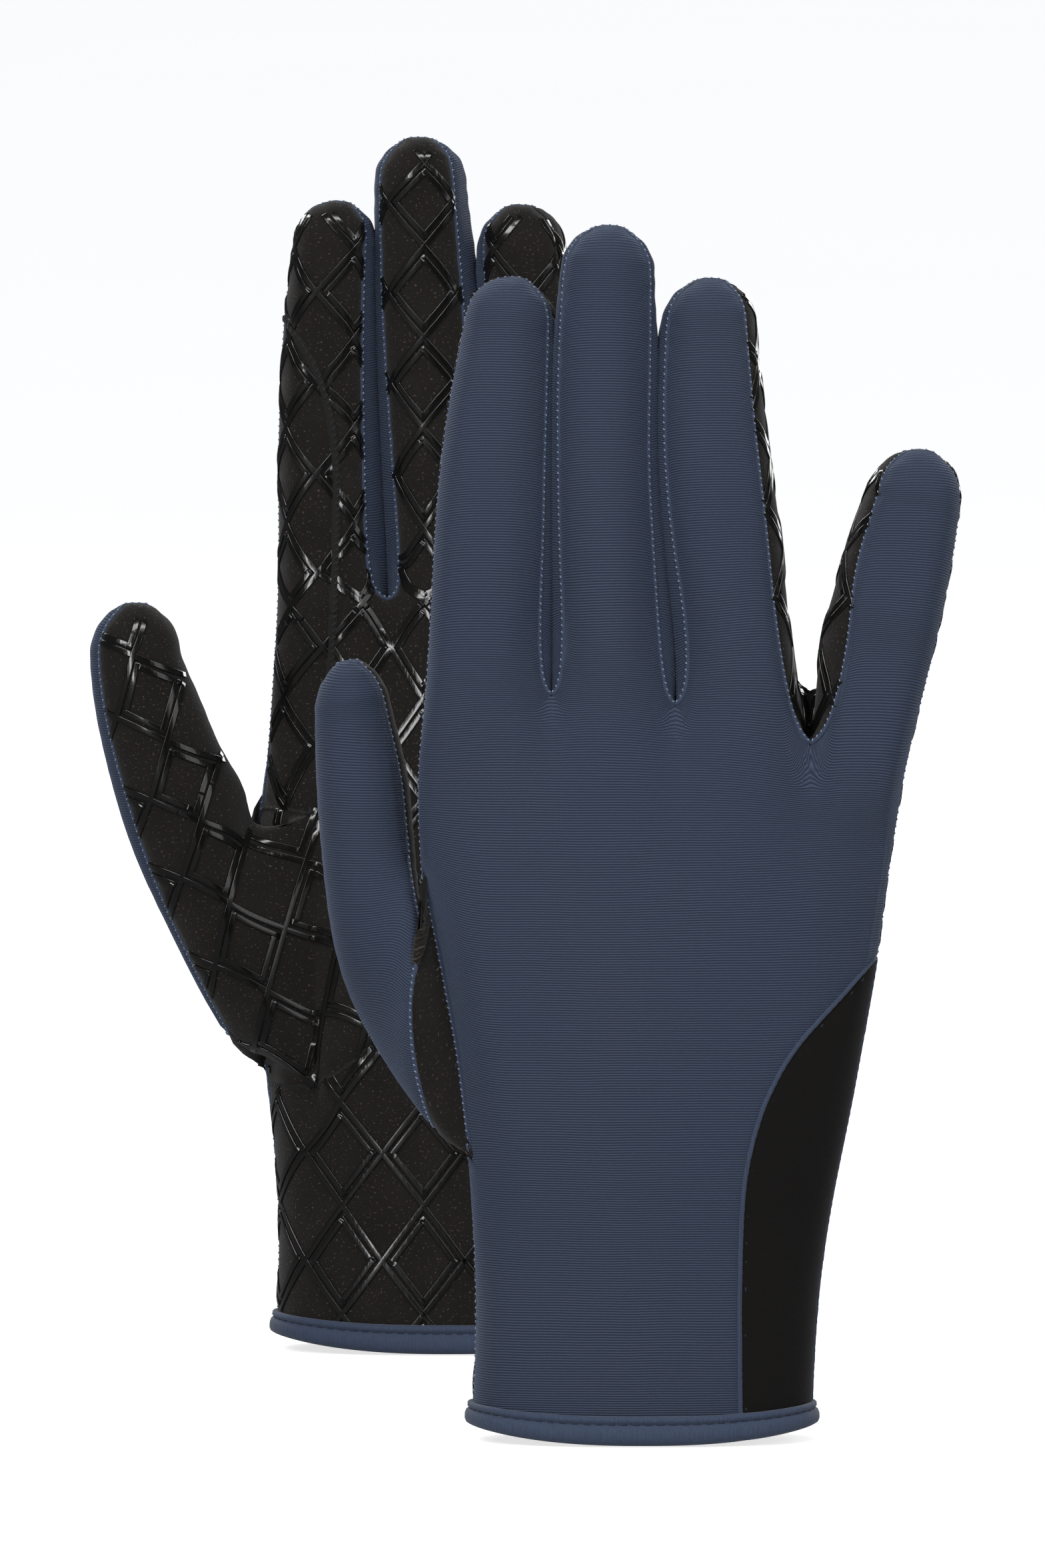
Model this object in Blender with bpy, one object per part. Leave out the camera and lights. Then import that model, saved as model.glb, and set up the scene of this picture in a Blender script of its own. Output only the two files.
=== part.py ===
# A pair of stretch riding gloves with a printed suede grip palm, standing on their cuffs.
# Each glove is a skin of sewn panels: one outer surface is laid out as a cage of quads, the
# panels are cut from it, and each panel is a thin shell of its own with a seam gap around it.
# Metres, +Z up. The left glove's palm faces -Y, the right glove's palm faces +Y.
import math
import bpy
import bmesh
from mathutils import Vector

MM = 0.001
FABRIC = 1.2  # thickness of one panel, in mm
SEAM_GAP = 0.16  # each panel stops this far short of its seam line
GLOVE_SPACING = 200.0  # between the two gloves' middle planes
GLOVE_SHIFT = 37.0  # sideways, between the two cuffs
BINDING_HEIGHT = 5.7
BINDING_WALL = 1.1
BINDING_CLEAR = 0.4
HEM_LIFT = 3.0  # how far the hem rises from its middle to its sides
TIP_DROP = 5.0  # how far a fingertip bends towards the palm
SEAM_ANGLE = 40.0  # where a finger's back and palm panels meet its side walls
SNAP = 1.6  # a seam line takes over cage points that are nearer than this

# Heights of the hand's rows of cage points; the last two follow the finger crotches.
HAND_ROWS = [1.6, 12.0, 26.0, 40.0, 54.0, 71.0, 88.0, 105.0]
KNUCKLE_ROW = 0.52  # where the row below the crotches lies between the one before it and them
FAN_START, FAN_END = 40.0, 120.0  # between these heights the columns turn from even spacing to the fingers'
EDGE_MARGIN = 2.6  # the first and last columns stay this far from the hand's edges at the cuff
KNUCKLE_MARGIN = 1.6  # and this far at the fingers
CROTCH_DEPTH = 6.4  # half the hand's depth between two fingers
KNUCKLE_DEPTH = 9.6  # and under a finger
CROTCH_DROP = 1.0  # the middle of a crotch lies this far below its back and palm
COLUMN_COUNT = 28
THUMB_LOW_ROW = 4
THUMB_HIGH_ROW = 7
THUMB_ROOT_RINGS = 3  # the thumb bends past this many rings
FINGERS = ["index", "middle", "ring", "pinky"]

# Half the hand's depth at the back and at the palm, by height.
BACK_DEPTH = [(0, 17.0), (30, 16.5), (60, 16.2), (90, 15.0), (112, 13.0), (130, 11.0), (142, 9.6)]
PALM_DEPTH = [(0, 17.0), (30, 16.2), (55, 16.0), (80, 16.5), (105, 14.0), (130, 11.0), (142, 9.4)]

# Half the thumb's depth at each of its rings.
THUMB_DEPTH = [12.6, 12.0, 10.9, 10.0, 9.4, 8.6]

# Half a finger's depth at its base and at its tip, and how round its section is.
FINGER_DEPTH = (9.0, 8.0)
FINGER_ROUNDNESS = 0.8
HINGE_DEPTH = 9.4  # a finger's hinge line lies on the palm's surface

# The seams that don't follow the cage.
ULNAR_SEAM = [(0, 18.4), (46, 18.8), (62, 22.0), (74, 28.0), (84, 37.0), (94, 47.0), (110, 70.0)]
STRIP_SEAM = [(100, 8.5), (150, 11.0), (178, 11.0), (192, 6.5), (205, -3.0)]  # from the index finger's edge
STRIP_BASE = 104.0
THENAR_MIDDLE = (-33.0, 78.0)
THENAR_REACH = (24.0, 27.0)

# The shirring elastic: its height up the palm, how far it lies behind the panel, and its thickness.
ELASTIC_LOW, ELASTIC_HIGH = 57.0, 64.0
ELASTIC_BEHIND = 1.9
ELASTIC_THICKNESS = 0.6
ELASTIC_COLUMNS = range(16, 24)

# Every size below is in mm. A finger's line runs from its base to its tip: height, middle, half width.
# Each thumb ring is given by its outer and inner points (across, up) and how far it lies to the palm.
RIGHT = {
    "side": "right", "shift_x": GLOVE_SHIFT / 2, "shift_y": -GLOVE_SPACING / 2, "palm_sign": 1,
    "radial": [(0, -32.4), (30, -31.8), (57, -34.0), (83, -38.6), (108, -42.2), (124, -42.8), (142, -41.2)],
    "ulnar": [(0, 32.0), (30, 33.6), (52, 37.2), (83, 43.2), (103, 46.1), (124, 49.3), (134, 51.0)],
    "crotch_x": [-41.0, -17.4, 6.0, 31.5, 50.4],
    "crotch_back": [137.0, 139.8, 137.5, 128.0, 126.0],
    "crotch_palm": [141.0, 145.0, 144.0, 140.0, 134.0],
    "index": [(150, -29.8, 10.9), (185, -28.3, 10.3), (210, -25.9, 8.4), (220.3, -24.4, 7.4)],
    "middle": [(150, -6.0, 9.8), (185, -7.5, 9.2), (212, -7.1, 9.1), (230, -6.3, 8.2)],
    "ring": [(150, 17.9, 9.9), (185, 13.7, 10.3), (210, 12.6, 8.8), (220.3, 12.8, 8.0)],
    "pinky": [(147, 43.6, 10.6), (162, 47.4, 10.1), (177, 51.0, 9.0), (187.6, 52.8, 7.8)],
    "pinky_turn": 26.0,
    "thumb": [((-43.0, 62.5), (-41.8, 100.5)), ((-51.8, 75.5), (-42.8, 106.5)),
              ((-57.8, 90.0), (-43.2, 112.0)), ((-60.3, 105.5), (-43.8, 118.0)),
              ((-61.7, 120.0), (-44.8, 126.5)), ((-62.2, 134.0), (-47.2, 136.5))],
    "thumb_tip": (-56.0, 146.9),
    "thumb_middle": [5.0, 8.0, 11.0, 12.5, 13.5, 14.5],
}
LEFT = {
    "side": "left", "shift_x": -GLOVE_SHIFT / 2, "shift_y": GLOVE_SPACING / 2, "palm_sign": -1,
    "radial": [(0, -33.4), (30, -32.8), (52, -34.6), (83, -37.0), (106, -36.4), (124, -34.6), (142, -33.3)],
    "ulnar": [(0, 33.0), (30, 34.4), (52, 38.0), (83, 44.2), (103, 47.4), (124, 50.6), (134, 52.0)],
    "crotch_x": [-33.2, -11.9, 10.6, 32.6, 51.4],
    "crotch_back": [137.0, 139.8, 137.5, 130.0, 128.0],
    "crotch_palm": [141.0, 145.3, 144.5, 141.0, 135.0],
    "index": [(150, -23.3, 9.9), (185, -23.8, 9.2), (205, -23.1, 8.4), (222.7, -21.4, 7.4)],
    "middle": [(150, -0.7, 9.7), (185, -3.3, 9.5), (209, -4.7, 9.3), (235, -6.0, 8.2)],
    "ring": [(150, 21.2, 9.7), (185, 17.6, 9.4), (206, 14.8, 8.6), (222.2, 13.2, 8.0)],
    "pinky": [(147, 43.4, 9.3), (162, 45.0, 9.0), (178, 46.6, 8.6), (190, 47.6, 7.8)],
    "pinky_turn": 12.0,
    "thumb": [((-45.5, 66.5), (-37.8, 102.5)), ((-54.3, 81.5), (-39.3, 108.0)),
              ((-61.3, 98.0), (-42.0, 113.5)), ((-65.8, 112.5), (-45.4, 119.8)),
              ((-68.8, 125.0), (-49.4, 130.5)), ((-69.4, 134.0), (-52.4, 138.6))],
    "thumb_tip": (-61.2, 145.3),
    "thumb_middle": [4.5, 7.0, 9.0, 10.0, 10.5, 11.0],
}

COLOURS = {
    "navy_stretch": (0.035, 0.052, 0.105, 1.0),
    "black_suede": (0.010, 0.009, 0.008, 1.0),
    "black_smooth": (0.007, 0.006, 0.006, 1.0),
    "navy_binding": (0.030, 0.046, 0.100, 1.0),
    "elastic": (0.020, 0.020, 0.022, 1.0),
}
ROUGHNESS = {
    "navy_stretch": 0.75,
    "black_suede": 0.9,
    "black_smooth": 0.7,
    "navy_binding": 0.7,
    "elastic": 0.8,
}


def curve_at(points, at):
    """Smooth value at a height, through (height, value) pairs, held level past both ends."""
    if at <= points[0][0]:
        return points[0][1]
    for k in range(len(points) - 1):
        (t0, v0), (t1, v1) = points[k], points[k + 1]
        if at <= t1:
            slope0 = slope_at(points, k)
            slope1 = slope_at(points, k + 1)
            u = (at - t0) / (t1 - t0)
            span = t1 - t0
            keep = 2 * u ** 3 - 3 * u ** 2 + 1
            rise = u ** 3 - 2 * u ** 2 + u
            fall = u ** 3 - u ** 2
            return keep * v0 + rise * span * slope0 + (1 - keep) * v1 + fall * span * slope1
    return points[-1][1]


def slope_at(points, k):
    before = points[max(k - 1, 0)]
    after = points[min(k + 1, len(points) - 1)]
    return (after[1] - before[1]) / (after[0] - before[0])


def mix(a, b, share):
    return a + (b - a) * share


def piecewise(values, position):
    """Straight-line reading of a short list at a fractional position."""
    k = min(int(position), len(values) - 2)
    return mix(values[k], values[k + 1], position - k)


class Skin:
    """The outer surface of one glove: named cage points, in mm, and tagged quads between them."""

    def __init__(self, layout):
        self.layout = layout
        self.points = []
        self.index = {}
        self.quads = []
        self.tags = []

    def add(self, key, x, y, z):
        """The palm lies at negative y here; placing the glove turns it to its own side."""
        self.index[key] = len(self.points)
        self.points.append(Vector((x, y, z)))

    def quad(self, keys, tag):
        self.quads.append([self.index[key] for key in keys])
        self.tags.append(tag)


def column_share(column):
    """Side of the hand (+1 back, -1 palm, 0 the edges) and the place across it, 0 radial to 12 ulnar."""
    if column == 0:
        return 0, 0
    if column <= 13:
        return 1, column - 1
    if column == 14:
        return 0, 12
    return -1, 27 - column


def edge_profile(across):
    """How deep the hand's section is at a place across it, from -1 to 1, as a share of its full depth."""
    return (1 - min(abs(across), 1.0) ** 2.6) ** 0.45


def finger_share(place):
    """Spreads the three quads of each finger so that the outer two are narrower than the middle one."""
    finger, step = divmod(place, 3)
    return finger + (0.0, 0.30, 0.70)[step] if place < 12 else 4.0


def add_hand_points(skin):
    layout = skin.layout
    last_row = len(HAND_ROWS) + 1
    for row in range(last_row + 1):
        for column in range(COLUMN_COUNT):
            side, place = column_share(column)
            share = finger_share(place)
            crotch = layout["crotch_palm"] if side < 0 else layout["crotch_back"]
            top = piecewise(crotch, share)
            if side == 0:
                top = (piecewise(layout["crotch_palm"], share) + piecewise(layout["crotch_back"], share)) / 2
            if row < len(HAND_ROWS):
                height = HAND_ROWS[row]
            else:
                height = mix(HAND_ROWS[-1], top, KNUCKLE_ROW if row < last_row else 1.0)
            left = curve_at(layout["radial"], height)
            right = curve_at(layout["ulnar"], height)
            if side == 0:
                x = left if place == 0 else right
                skin.add(("hand", row, column), x, 0.0, height + hem_rise(row, 1.0))
                continue
            knuckle_x = piecewise(layout["crotch_x"], share)
            level_x = mix(left + EDGE_MARGIN, right - EDGE_MARGIN, place / 12)
            fanned_x = min(max(knuckle_x, left + KNUCKLE_MARGIN), right - KNUCKLE_MARGIN)
            fan = min(max((height - FAN_START) / (FAN_END - FAN_START), 0.0), 1.0)
            x = mix(level_x, fanned_x, fan * fan * (3 - 2 * fan))
            across = (2 * x - left - right) / (right - left)
            depth = curve_at(BACK_DEPTH if side > 0 else PALM_DEPTH, height) * edge_profile(across)
            if row == last_row:
                depth = CROTCH_DEPTH if place % 3 == 0 else KNUCKLE_DEPTH
            elif row == last_row - 1 and 0 < place < 12 and place % 3 == 0:
                depth *= 0.93  # the valleys between the knuckles
            rise = hem_rise(row, across)
            skin.add(("hand", row, column), x, side * depth, height + rise)


def hem_rise(row, across):
    """The bottom row curves up towards the two sides of the cuff."""
    return HEM_LIFT * abs(across) ** 2.5 if row == 0 else 0.0


def add_crotch_points(skin):
    layout = skin.layout
    for k in range(1, 4):
        height = (layout["crotch_back"][k] + layout["crotch_palm"][k]) / 2 - CROTCH_DROP
        skin.add(("crotch", k), layout["crotch_x"][k], 0.0, height)


def in_thumb_patch(row, column):
    """The hand quads that the thumb grows out of."""
    return THUMB_LOW_ROW <= row < THUMB_HIGH_ROW and column in (0, 26, 27)


def add_hand_quads(skin):
    last_row = len(HAND_ROWS) + 1
    for row in range(last_row):
        for column in range(COLUMN_COUNT):
            if in_thumb_patch(row, column):
                continue
            after = (column + 1) % COLUMN_COUNT
            keys = [("hand", row, column), ("hand", row, after),
                    ("hand", row + 1, after), ("hand", row + 1, column)]
            skin.quad(keys, "hand_back" if column < 14 else "hand_palm")


def ring_profile(left_angle, right_angle):
    """Ten points round a finger: side, four on the back, side, four on the palm, as (across, deep)."""
    angles = [180, 180 - left_angle, 108, 72, right_angle, 0, -right_angle, -72, -108, left_angle - 180]
    points = []
    for angle in angles:
        c = math.cos(math.radians(angle))
        s = math.sin(math.radians(angle))
        across = math.copysign(abs(c) ** FINGER_ROUNDNESS, c)
        deep = math.copysign(abs(s) ** FINGER_ROUNDNESS, s)
        points.append((across, deep))
    return points


def add_finger(skin, number):
    name = FINGERS[number]
    line = skin.layout[name]
    middle_line = [(z, x) for z, x, half in line]
    half_line = [(z, half) for z, x, half in line]
    start, tip = line[0][0], line[-1][0]
    cap = line[-1][2]
    heights = [mix(start, tip - cap, k / 4) for k in range(5)] + [tip - 0.5 * cap, tip - 0.14 * cap]
    first = 3 * number
    base = [("hand", 9, 0) if number == 0 else ("crotch", number)]
    base += [("hand", 9, 1 + first + k) for k in range(4)]
    base += [("hand", 9, 14) if number == 3 else ("crotch", number + 1)]
    base += [("hand", 9, 27 - first - 3 + k) for k in range(4)]
    rings = [base]
    for ring, z in enumerate(heights):
        grown = (z - start) / (tip - start)
        x = curve_at(middle_line, z)
        lean = math.atan((curve_at(middle_line, z + 1) - curve_at(middle_line, z - 1)) / 2)
        round_off = math.sqrt(1 - max(0.0, 1 - (tip - z) / cap) ** 2)
        half = curve_at(half_line, z) * round_off
        deep = mix(*FINGER_DEPTH, grown) * round_off
        angle = SEAM_ANGLE if ring < 5 else (30.0, 18.0)[ring - 5]
        turn = skin.layout["pinky_turn"] * max(0.0, 1 - 2.2 * grown) if name == "pinky" else 0.0
        profile = ring_profile(angle + turn, angle)
        keys = []
        for k, (across, depth) in enumerate(profile):
            key = (name, ring, k)
            side = half * across
            y = deep * depth - TIP_DROP * grown ** 2
            skin.add(key, x + side * math.cos(lean), y, z - side * math.sin(lean))
            keys.append(key)
        rings.append(keys)
    for ring in range(len(rings) - 1):
        for k in range(10):
            after = (k + 1) % 10
            keys = [rings[ring][k], rings[ring][after], rings[ring + 1][after], rings[ring + 1][k]]
            skin.quad(keys, name + finger_zone(number, k))
    x = middle_line[-1][1]
    skin.add((name, "cap", 0), x - 0.24 * cap, -TIP_DROP, tip)
    skin.add((name, "cap", 1), x + 0.24 * cap, -TIP_DROP, tip)
    top = rings[-1]
    one = (name, "cap", 0)
    two = (name, "cap", 1)
    for keys in ([top[0], top[1], top[2], one], [one, top[2], top[3], two], [two, top[3], top[4], top[5]]):
        skin.quad(keys, name + "_back")
    for keys in ([top[5], top[6], top[7], two], [two, top[7], top[8], one], [one, top[8], top[9], top[0]]):
        skin.quad(keys, name + "_palm")


def finger_zone(number, k):
    """Which panel a strip of a finger belongs to, counted round from its thumb side."""
    if k in (1, 2, 3):
        return "_back"
    if k in (6, 7, 8):
        return "_palm"
    if k in (0, 9) and number == 0 or k in (4, 5) and number == 3:
        return "_back" if k in (0, 4) else "_palm"
    return "_radial_wall" if k in (0, 9) else "_ulnar_wall"


def add_thumb(skin):
    layout = skin.layout
    low, high = THUMB_LOW_ROW, THUMB_HIGH_ROW
    base = [(low, 0), (low, 27), (low, 26), (low + 1, 26), (low + 2, 26), (high, 26),
            (high, 27), (high, 0), (high, 1), (low + 2, 1), (low + 1, 1), (low, 1)]
    rings = [[("hand", row, column) for row, column in base]]
    sections = []
    for (outer, inner), middle, deep in zip(layout["thumb"], layout["thumb_middle"], THUMB_DEPTH):
        centre = Vector(((outer[0] + inner[0]) / 2, -middle, (outer[1] + inner[1]) / 2))
        reach = Vector((outer[0] - inner[0], 0, outer[1] - inner[1])) / 2
        sections.append((centre, reach, deep))
    centre, reach, deep = sections[-1]
    tip = Vector((layout["thumb_tip"][0], centre.y, layout["thumb_tip"][1]))
    for share in (0.5, 0.86):
        shrink = math.sqrt(1 - share ** 2)
        sections.append((centre.lerp(tip, share), reach * shrink, deep * shrink))
    for ring, (middle, out, depth) in enumerate(sections):
        keys = []
        for k in range(12):
            angle = math.radians(30 * k)
            point = middle + out * math.cos(angle) - Vector((0, depth, 0)) * math.sin(angle)
            skin.add(("thumb", ring, k), *point)
            keys.append(("thumb", ring, k))
        rings.append(keys)
    for ring in range(len(rings) - 1):
        for k in range(12):
            after = (k + 1) % 12
            keys = [rings[ring][k], rings[ring][after], rings[ring + 1][after], rings[ring + 1][k]]
            zone = "_palm" if k < 7 else "_back"
            if ring == 0 and zone == "_back":
                zone = "_gusset"
            part = "thumb" if ring >= THUMB_ROOT_RINGS else "thumb_root"
            skin.quad(keys, part + zone)
    for k, along in enumerate((0.3, -0.3)):
        skin.add(("thumb", "cap", k), *(tip + reach * along))
    top = rings[-1]
    one = ("thumb", "cap", 0)
    two = ("thumb", "cap", 1)
    fans = [([top[0], top[1], top[2], one], 1), ([one, top[2], top[3], two], 1), ([two, top[3], top[4]], 1),
            ([two, top[4], top[5], top[6]], 1), ([two, top[6], top[7]], 1), ([two, top[7], top[8]], 0),
            ([two, top[8], top[9], one], 0), ([one, top[9], top[10]], 0),
            ([one, top[10], top[11], top[0]], 0)]
    for keys, on_palm in fans:
        skin.quad(keys, "thumb_palm" if on_palm else "thumb_back")


# Each field is positive on the far side of its seam.
def ulnar_panel_field(point):
    """Straight up the cuff, then a bend out to the little-finger edge."""
    return point.x - curve_at(ULNAR_SEAM, point.z)


def thenar_field(point):
    """Inside of the rounded seam that runs round the ball of the thumb."""
    across = (point.x - THENAR_MIDDLE[0]) / THENAR_REACH[0]
    up = (point.z - THENAR_MIDDLE[1]) / THENAR_REACH[1]
    return THENAR_REACH[0] * (1 - math.hypot(across, up))


def strip_field(point, edge_x):
    """The strip up the thumb side of the index finger, from the thumb crotch to near the tip."""
    return curve_at(STRIP_SEAM, point.z) - (point.x - edge_x)


def seam_ends(values):
    """The two corners that a seam joins across a face, or None: its two sides hold one sign each."""
    count = len(values)
    zeros = [k for k in range(count) if values[k] == 0.0]
    for one in zeros:
        for two in zeros:
            if two - one < 2 or one + count - two < 2:
                continue
            between = values[one + 1:two]
            around = values[two + 1:] + values[:one]
            for first, second in ((between, around), (around, between)):
                if min(first) >= 0 and max(first) > 0 and max(second) <= 0 and min(second) < 0:
                    return one, two
    return None


def cut_panel(mesh, layer, tags, source, target, field):
    """Cuts the faces tagged source along field = 0 and tags those on its positive side target."""
    faces = [face for face in mesh.faces if tags[face[layer]] == source]
    verts = {vert for face in faces for vert in face.verts}
    values = {vert: field(vert.co) for vert in verts}
    for vert in verts:
        if abs(values[vert]) < SNAP:
            values[vert] = 0.0
    for edge in {edge for face in faces for edge in face.edges}:
        one, two = edge.verts
        if values[one] * values[two] < 0:
            share = values[one] / (values[one] - values[two])
            new_vert = bmesh.utils.edge_split(edge, one, share)[1]
            values[new_vert] = 0.0
    for face in faces:
        ends = seam_ends([values[vert] for vert in face.verts])
        if ends:
            bmesh.utils.face_split(face, face.verts[ends[0]], face.verts[ends[1]])
    source_tag = tags.index(source)
    if target not in tags:
        tags.append(target)
    for face in mesh.faces:
        if face[layer] == source_tag and all(vert in values for vert in face.verts):
            if sum(values[vert] for vert in face.verts) > 0:
                face[layer] = tags.index(target)


def build_skin(layout):
    """The whole skin of one glove as a bmesh, in the glove's own frame, in mm, with a tag on each face."""
    skin = Skin(layout)
    add_hand_points(skin)
    add_crotch_points(skin)
    add_hand_quads(skin)
    for number in range(4):
        add_finger(skin, number)
    add_thumb(skin)
    mesh = bmesh.new()
    layer = mesh.faces.layers.int.new("panel")
    verts = [mesh.verts.new(point) for point in skin.points]
    tags = sorted(set(skin.tags))
    for quad, tag in zip(skin.quads, skin.tags):
        face = mesh.faces.new([verts[k] for k in quad])
        face[layer] = tags.index(tag)
    edge_x = layout["index"][0][1] - layout["index"][0][2]
    cut_panel(mesh, layer, tags, "hand_back", "ulnar_panel", ulnar_panel_field)
    cut_panel(mesh, layer, tags, "hand_palm", "thenar_panel", thenar_field)

    def strip_on_finger(point):
        return strip_field(point, edge_x)

    def strip_on_hand(point):
        return min(strip_field(point, edge_x), point.z - STRIP_BASE)

    cut_panel(mesh, layer, tags, "index_palm", "index_radial_strip", strip_on_finger)
    cut_panel(mesh, layer, tags, "hand_palm", "hand_radial_strip", strip_on_hand)
    bmesh.ops.recalc_face_normals(mesh, faces=mesh.faces[:])
    mesh.normal_update()
    return mesh, layer, tags


def placed(layout, point):
    """A point of the glove's own frame in metres, on its own side of the pair."""
    y = point.y if layout["palm_sign"] < 0 else -point.y
    return Vector((point.x + layout["shift_x"], y + layout["shift_y"], point.z)) * MM


def panel_shell(mesh, layer, wanted, thickness, gap):
    """The faces of one panel as a closed thin shell: outer sheet, inner sheet and a rim along its seams."""
    faces = [face for face in mesh.faces if face[layer] in wanted]
    inside = set(faces)
    pull = {}
    rims = []
    for face in faces:
        for loop in face.loops:
            edge = loop.edge
            if any(other in inside for other in edge.link_faces if other is not face):
                continue
            start, end = loop.vert, loop.link_loop_next.vert
            along = (end.co - start.co).normalized()
            inward = face.normal.cross(along).normalized()
            rims.append((start, end))
            for vert in (start, end):
                pull.setdefault(vert, []).append(inward)
    order = []
    place = {}
    for face in faces:
        for vert in face.verts:
            if vert not in place:
                place[vert] = len(order)
                order.append(vert)
    outer = []
    inner = []
    for vert in order:
        shift = Vector()
        if vert in pull:
            total = Vector()
            for inward in pull[vert]:
                total += inward
            if total.length > 1e-6:
                total.normalize()
                reach = max(min(total.dot(inward) for inward in pull[vert]), 0.45)
                shift = total * (gap / reach)
        outer.append(vert.co + shift)
        inner.append(vert.co + shift - vert.normal * thickness)
    count = len(order)
    polygons = [[place[vert] for vert in face.verts] for face in faces]
    polygons += [[count + place[vert] for vert in reversed(face.verts)] for face in faces]
    for start, end in rims:
        a, b = place[start], place[end]
        polygons.append([b, a, count + a, count + b])
    return outer + inner, polygons


def hem_section(skin_low, skin_high, outward, height, offset):
    """A point at a height beside the hem, pushed out from the skin by offset."""
    share = (height - skin_low.z) / (skin_high.z - skin_low.z)
    base = skin_low.lerp(skin_high, share)
    return Vector((base.x + outward.x * offset, base.y + outward.y * offset, height))


def binding_shell(layout):
    """The folded tape over the hem: a U-shaped section carried once round the cuff."""
    skin = Skin(layout)
    add_hand_points(skin)
    low = [skin.points[skin.index[("hand", 0, column)]] for column in range(COLUMN_COUNT)]
    high = [skin.points[skin.index[("hand", 1, column)]] for column in range(COLUMN_COUNT)]
    slot = -(FABRIC + BINDING_CLEAR)
    inner = slot - BINDING_WALL
    outer = BINDING_CLEAR + BINDING_WALL
    floor = HAND_ROWS[0] - BINDING_CLEAR
    top = BINDING_HEIGHT
    section = [(outer - 0.5, 0.0), (outer, 0.7), (outer, top), (BINDING_CLEAR, top), (BINDING_CLEAR, floor),
               (slot, floor), (slot, top - 0.6), (inner, top - 0.6), (inner, 0.7), (inner + 0.5, 0.0)]
    points = []
    for column in range(COLUMN_COUNT):
        before = low[column - 1]
        after = low[(column + 1) % COLUMN_COUNT]
        along = after - before
        outward = Vector((-along.y, along.x, 0)).normalized()
        rise = low[column].z - HAND_ROWS[0]
        rise = rise if rise > 0.25 else 0.0
        for offset, height in section:
            lifted = height + rise * (1 - 0.5 * height / top)
            points.append(hem_section(low[column], high[column], outward, lifted, offset))
    polygons = []
    count = len(section)
    for column in range(COLUMN_COUNT):
        after = (column + 1) % COLUMN_COUNT
        for k in range(count):
            step = (k + 1) % count
            here, there = column * count, after * count
            polygons.append([here + k, there + k, there + step, here + step])
    return points, polygons


def elastic_shell(layout):
    """The shirring elastic sewn inside the palm at the wrist, a flat strip that follows the panel."""
    skin = Skin(layout)
    add_hand_points(skin)
    near, far = -ELASTIC_BEHIND, -ELASTIC_BEHIND - ELASTIC_THICKNESS
    corners = ((ELASTIC_LOW, near), (ELASTIC_HIGH, near), (ELASTIC_HIGH, far), (ELASTIC_LOW, far))
    stack = []
    for column in ELASTIC_COLUMNS:
        low = skin.points[skin.index[("hand", 4, column)]]
        high = skin.points[skin.index[("hand", 5, column)]]
        before = skin.points[skin.index[("hand", 4, column - 1)]]
        after = skin.points[skin.index[("hand", 4, column + 1)]]
        along = after - before
        outward = Vector((-along.y, along.x, 0)).normalized()
        for height, offset in corners:
            stack.append(hem_section(low, high, outward, height, offset))
    polygons = [[0, 1, 2, 3]]
    for k in range(len(ELASTIC_COLUMNS) - 1):
        for step in range(4):
            after = (step + 1) % 4
            polygons.append([4 * k + after, 4 * k + step, 4 * k + 4 + step, 4 * k + 4 + after])
    last = 4 * (len(ELASTIC_COLUMNS) - 1)
    polygons.append([last + 3, last + 2, last + 1, last])
    return stack, polygons


def knuckle_point(layout, digit):
    """A point on the digit's hinge line: on the palm surface, at the crotch."""
    if digit == "thumb":
        outer, inner = layout["thumb"][THUMB_ROOT_RINGS - 1]
        depth = layout["thumb_middle"][THUMB_ROOT_RINGS - 1] + THUMB_DEPTH[THUMB_ROOT_RINGS - 1]
        return Vector(((outer[0] + inner[0]) / 2, -depth, (outer[1] + inner[1]) / 2))
    number = FINGERS.index(digit)
    height = max(layout["crotch_palm"][number:number + 2])
    x = (layout["crotch_x"][number] + layout["crotch_x"][number + 1]) / 2
    return Vector((x, -HINGE_DEPTH, height))


# Node name, the skin tags it is made of, its material and the digit it moves with (None for the hand).
PANELS = [
    ("back_panel", ["hand_back"], "navy_stretch", None),
    ("palm_panel", ["hand_palm"], "black_suede", None),
    ("ulnar_wrist_panel", ["ulnar_panel"], "black_smooth", None),
    ("thenar_panel", ["thenar_panel", "thumb_root_palm"], "black_suede", None),
    ("thumb_gusset", ["thumb_root_gusset"], "black_suede", None),
    ("thumb_root_panel", ["thumb_root_back"], "navy_stretch", None),
    ("radial_strip_base", ["hand_radial_strip"], "black_suede", None),
    ("thumb_back", ["thumb_back"], "navy_stretch", "thumb"),
    ("thumb_palm", ["thumb_palm"], "black_suede", "thumb"),
    ("index_radial_strip", ["index_radial_strip"], "black_suede", "index"),
]
for finger in FINGERS:
    PANELS.append((finger + "_back", [finger + "_back"], "navy_stretch", finger))
    PANELS.append((finger + "_palm", [finger + "_palm"], "black_suede", finger))
for finger, wall, cloth in (
    ("index", "_ulnar_wall", "navy_stretch"),
    ("middle", "_radial_wall", "navy_stretch"),
    ("middle", "_ulnar_wall", "navy_stretch"),
    ("ring", "_radial_wall", "navy_stretch"),
    ("ring", "_ulnar_wall", "black_suede"),
    ("pinky", "_radial_wall", "black_suede"),
):
    PANELS.append((finger + wall, [finger + wall], cloth, finger))


def make_material(name):
    material = bpy.data.materials.new(name)
    material.use_nodes = True
    shader = material.node_tree.nodes["Principled BSDF"]
    shader.inputs["Base Color"].default_value = COLOURS[name]
    shader.inputs["Roughness"].default_value = ROUGHNESS[name]
    shader.inputs["Metallic"].default_value = 0.0
    material.diffuse_color = COLOURS[name]
    return material


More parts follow.
